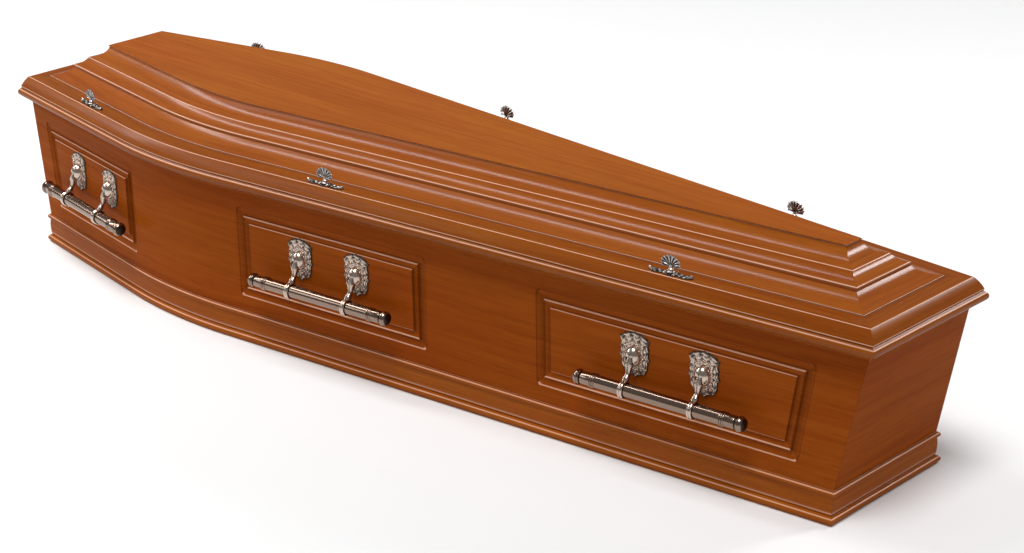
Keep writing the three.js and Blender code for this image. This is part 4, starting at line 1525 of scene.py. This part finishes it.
class CoffinMetal(bpy.types.PropertyGroup):
    handle_light: colour_setting("Casting", "Colour of the bright castings", (0.62, 0.50, 0.42))
    handle_dark: colour_setting("Casting hollows", "Colour of the dark hollows", (0.045, 0.033, 0.026))
    bar_light: colour_setting("Bar", "Colour of the polished bar", (0.290, 0.208, 0.160))
    screw_light: colour_setting("Screw", "Colour of the screws' bright edges", (0.50, 0.46, 0.43))
    screw_dark: colour_setting("Screw hollows", "Colour of the screws' hollows", (0.030, 0.025, 0.022))
    handle_roughness: factor_setting("Casting roughness", "Roughness of the castings", 0.22)
    bar_roughness: factor_setting("Bar roughness", "Roughness of the bar", 0.18)
    bar_radius: length_setting("Bar radius", "Radius of the bar", 11 * MM)
    bar_length: length_setting("Bar length", "Length over both caps", 318 * MM)
    bar_out: length_setting("Bar distance", "From the side to the bar's middle", 31 * MM)
    bar_drop: length_setting("Bar drop", "From the pivots down to the bar", 48.5 * MM)
    arm_spacing: length_setting("Arm spacing", "Between the two arms", 128 * MM)
    hood_radius: length_setting("Hood half width", "Half width of a hood", 14.5 * MM)
    hood_height: length_setting("Hood half height", "Half height of a hood", 17.5 * MM)
    hood_out: length_setting("Hood reach", "How far a hood stands out", 17.7 * MM)
    wing_length: length_setting("Leaf plate length", "Over both leaves", 80 * MM)
    wing_width: length_setting("Leaf plate width", "Across the middle", 19 * MM)
    stem_height: length_setting("Stem height", "From plate to shell", 8 * MM)
    shell_width: length_setting("Shell width", "Across the shell", 36 * MM)
    shell_height: length_setting("Shell height", "Height of the shell", 20 * MM)
    shell_ribs: bpy.props.IntProperty(
        name="Shell ribs", description="Ribs across one shell", min=3, max=15, default=9)


class CoffinStage(bpy.types.PropertyGroup):
    floor_colour: colour_setting("Floor", "Colour of the floor", (0.84, 0.84, 0.84))
    floor_reach: bpy.props.FloatProperty(
        name="Floor reach", description="Half the floor's width", unit="LENGTH", min=1, default=25.0)
    world_colour: colour_setting("Surroundings", "Colour of the surroundings", (1.0, 1.0, 1.0))
    world_strength: strength_setting("Surroundings strength", "Light from all round", 0.2)
    key_power: strength_setting("Key light", "Strength of the broad light above", 2.2)
    key_direction: bpy.props.FloatVectorProperty(
        name="Key direction", description="Towards the light above", size=3, default=(0.12, -0.30, 1.0))
    head_power: strength_setting("Head light", "Power of the light past the head", 11.0)
    foot_power: strength_setting("Foot light", "Power of the light past the foot", 30.0)
    strip_power: strength_setting("Strip light", "Power of the long light above the head", 68.0)
    lens: bpy.props.FloatProperty(name="Lens", description="Focal length in millimetres", min=1, default=81.508)
    camera_place: bpy.props.FloatVectorProperty(
        name="Camera place", description="Where the photo was taken from", subtype="TRANSLATION", size=3,
        default=(2.70077, -2.69743, 1.63687))
    camera_turn: bpy.props.FloatVectorProperty(
        name="Camera turn", description="The camera's turn in degrees", size=3, default=(68.2351, 0.8360, 43.0546))


# Operators


class COFFIN_OT_boards(bpy.types.Operator):
    """Make the routed side boards and finish the flat boards"""
    bl_idname = "coffin.boards"
    bl_label = "Boards"
    bl_options = {"REGISTER", "UNDO"}

    def execute(self, context):
        for side in SIDES:
            build_side_board(side)
        dress_flat_boards()
        return {"FINISHED"}


class COFFIN_OT_plinth(bpy.types.Operator):
    """Run the plinth moulding round the foot of the box"""
    bl_idname = "coffin.plinth"
    bl_label = "Plinth"
    bl_options = {"REGISTER", "UNDO"}

    def execute(self, context):
        moulding_set("plinth", "plinth", plinth_outline(), plinth_ends, "box_wood", 6.0, PLINTH_CRESTS)
        return {"FINISHED"}


class COFFIN_OT_lid_rim(bpy.types.Operator):
    """Run the rolled rim moulding round the lid"""
    bl_idname = "coffin.lid_rim"
    bl_label = "Lid rim"
    bl_options = {"REGISTER", "UNDO"}

    def execute(self, context):
        moulding_set("rim", "lid_rim", rim_outline(), lid_ends, "lid_wood", 1.0, RIM_CRESTS)
        return {"FINISHED"}


class COFFIN_OT_raised_lid(bpy.types.Operator):
    """Run the stepped moulding of the raised lid and lay its top board"""
    bl_idname = "coffin.raised_lid"
    bl_label = "Raised lid"
    bl_options = {"REGISTER", "UNDO"}

    def execute(self, context):
        moulding_set("raised", "lid_moulding", raised_outline(), lid_ends, "lid_wood", 3.5)
        build_top_board()
        return {"FINISHED"}


class COFFIN_OT_handles(bpy.types.Operator):
    """Cast the handle plates and arms and turn the bars"""
    bl_idname = "coffin.handles"
    bl_label = "Handles"
    bl_options = {"REGISTER", "UNDO"}

    def execute(self, context):
        build_handles()
        return {"FINISHED"}


class COFFIN_OT_thumb_screws(bpy.types.Operator):
    """Cast the leaf plates and the shell thumb screws"""
    bl_idname = "coffin.thumb_screws"
    bl_label = "Thumb screws"
    bl_options = {"REGISTER", "UNDO"}

    def execute(self, context):
        build_thumb_screws()
        return {"FINISHED"}


class COFFIN_OT_stage(bpy.types.Operator):
    """Lay the floor and set the lights and the camera"""
    bl_idname = "coffin.stage"
    bl_label = "Stage"
    bl_options = {"REGISTER", "UNDO"}

    def execute(self, context):
        build_stage()
        return {"FINISHED"}


OPERATORS = (
    COFFIN_OT_stage, COFFIN_OT_boards, COFFIN_OT_plinth, COFFIN_OT_lid_rim, COFFIN_OT_raised_lid,
    COFFIN_OT_handles, COFFIN_OT_thumb_screws,
)


class COFFIN_PT_panel(bpy.types.Panel):
    bl_label = "Wooden Coffin"
    bl_idname = "COFFIN_PT_panel"
    bl_space_type = "VIEW_3D"
    bl_region_type = "UI"
    bl_category = "Coffin"

    def draw(self, context):
        for operator in OPERATORS:
            self.layout.operator(operator.bl_idname)
        for group in (context.scene.coffin_finish, context.scene.coffin_metal, context.scene.coffin_stage):
            box = self.layout.box()
            for name in group.bl_rna.properties.keys():
                if name not in ("rna_type", "name"):
                    box.prop(group, name)


CLASSES = (CoffinFinish, CoffinMetal, CoffinStage, *OPERATORS, COFFIN_PT_panel)


def register():
    for item in CLASSES:
        bpy.utils.register_class(item)
    bpy.types.Scene.coffin_finish = bpy.props.PointerProperty(type=CoffinFinish)
    bpy.types.Scene.coffin_metal = bpy.props.PointerProperty(type=CoffinMetal)
    bpy.types.Scene.coffin_stage = bpy.props.PointerProperty(type=CoffinStage)


def unregister():
    del bpy.types.Scene.coffin_stage
    del bpy.types.Scene.coffin_metal
    del bpy.types.Scene.coffin_finish
    for item in reversed(CLASSES):
        bpy.utils.unregister_class(item)


def main():
    register()
    for operator in OPERATORS:
        group, name = operator.bl_idname.split(".")
        getattr(getattr(bpy.ops, group), name)()


if __name__ == "__main__":
    main()
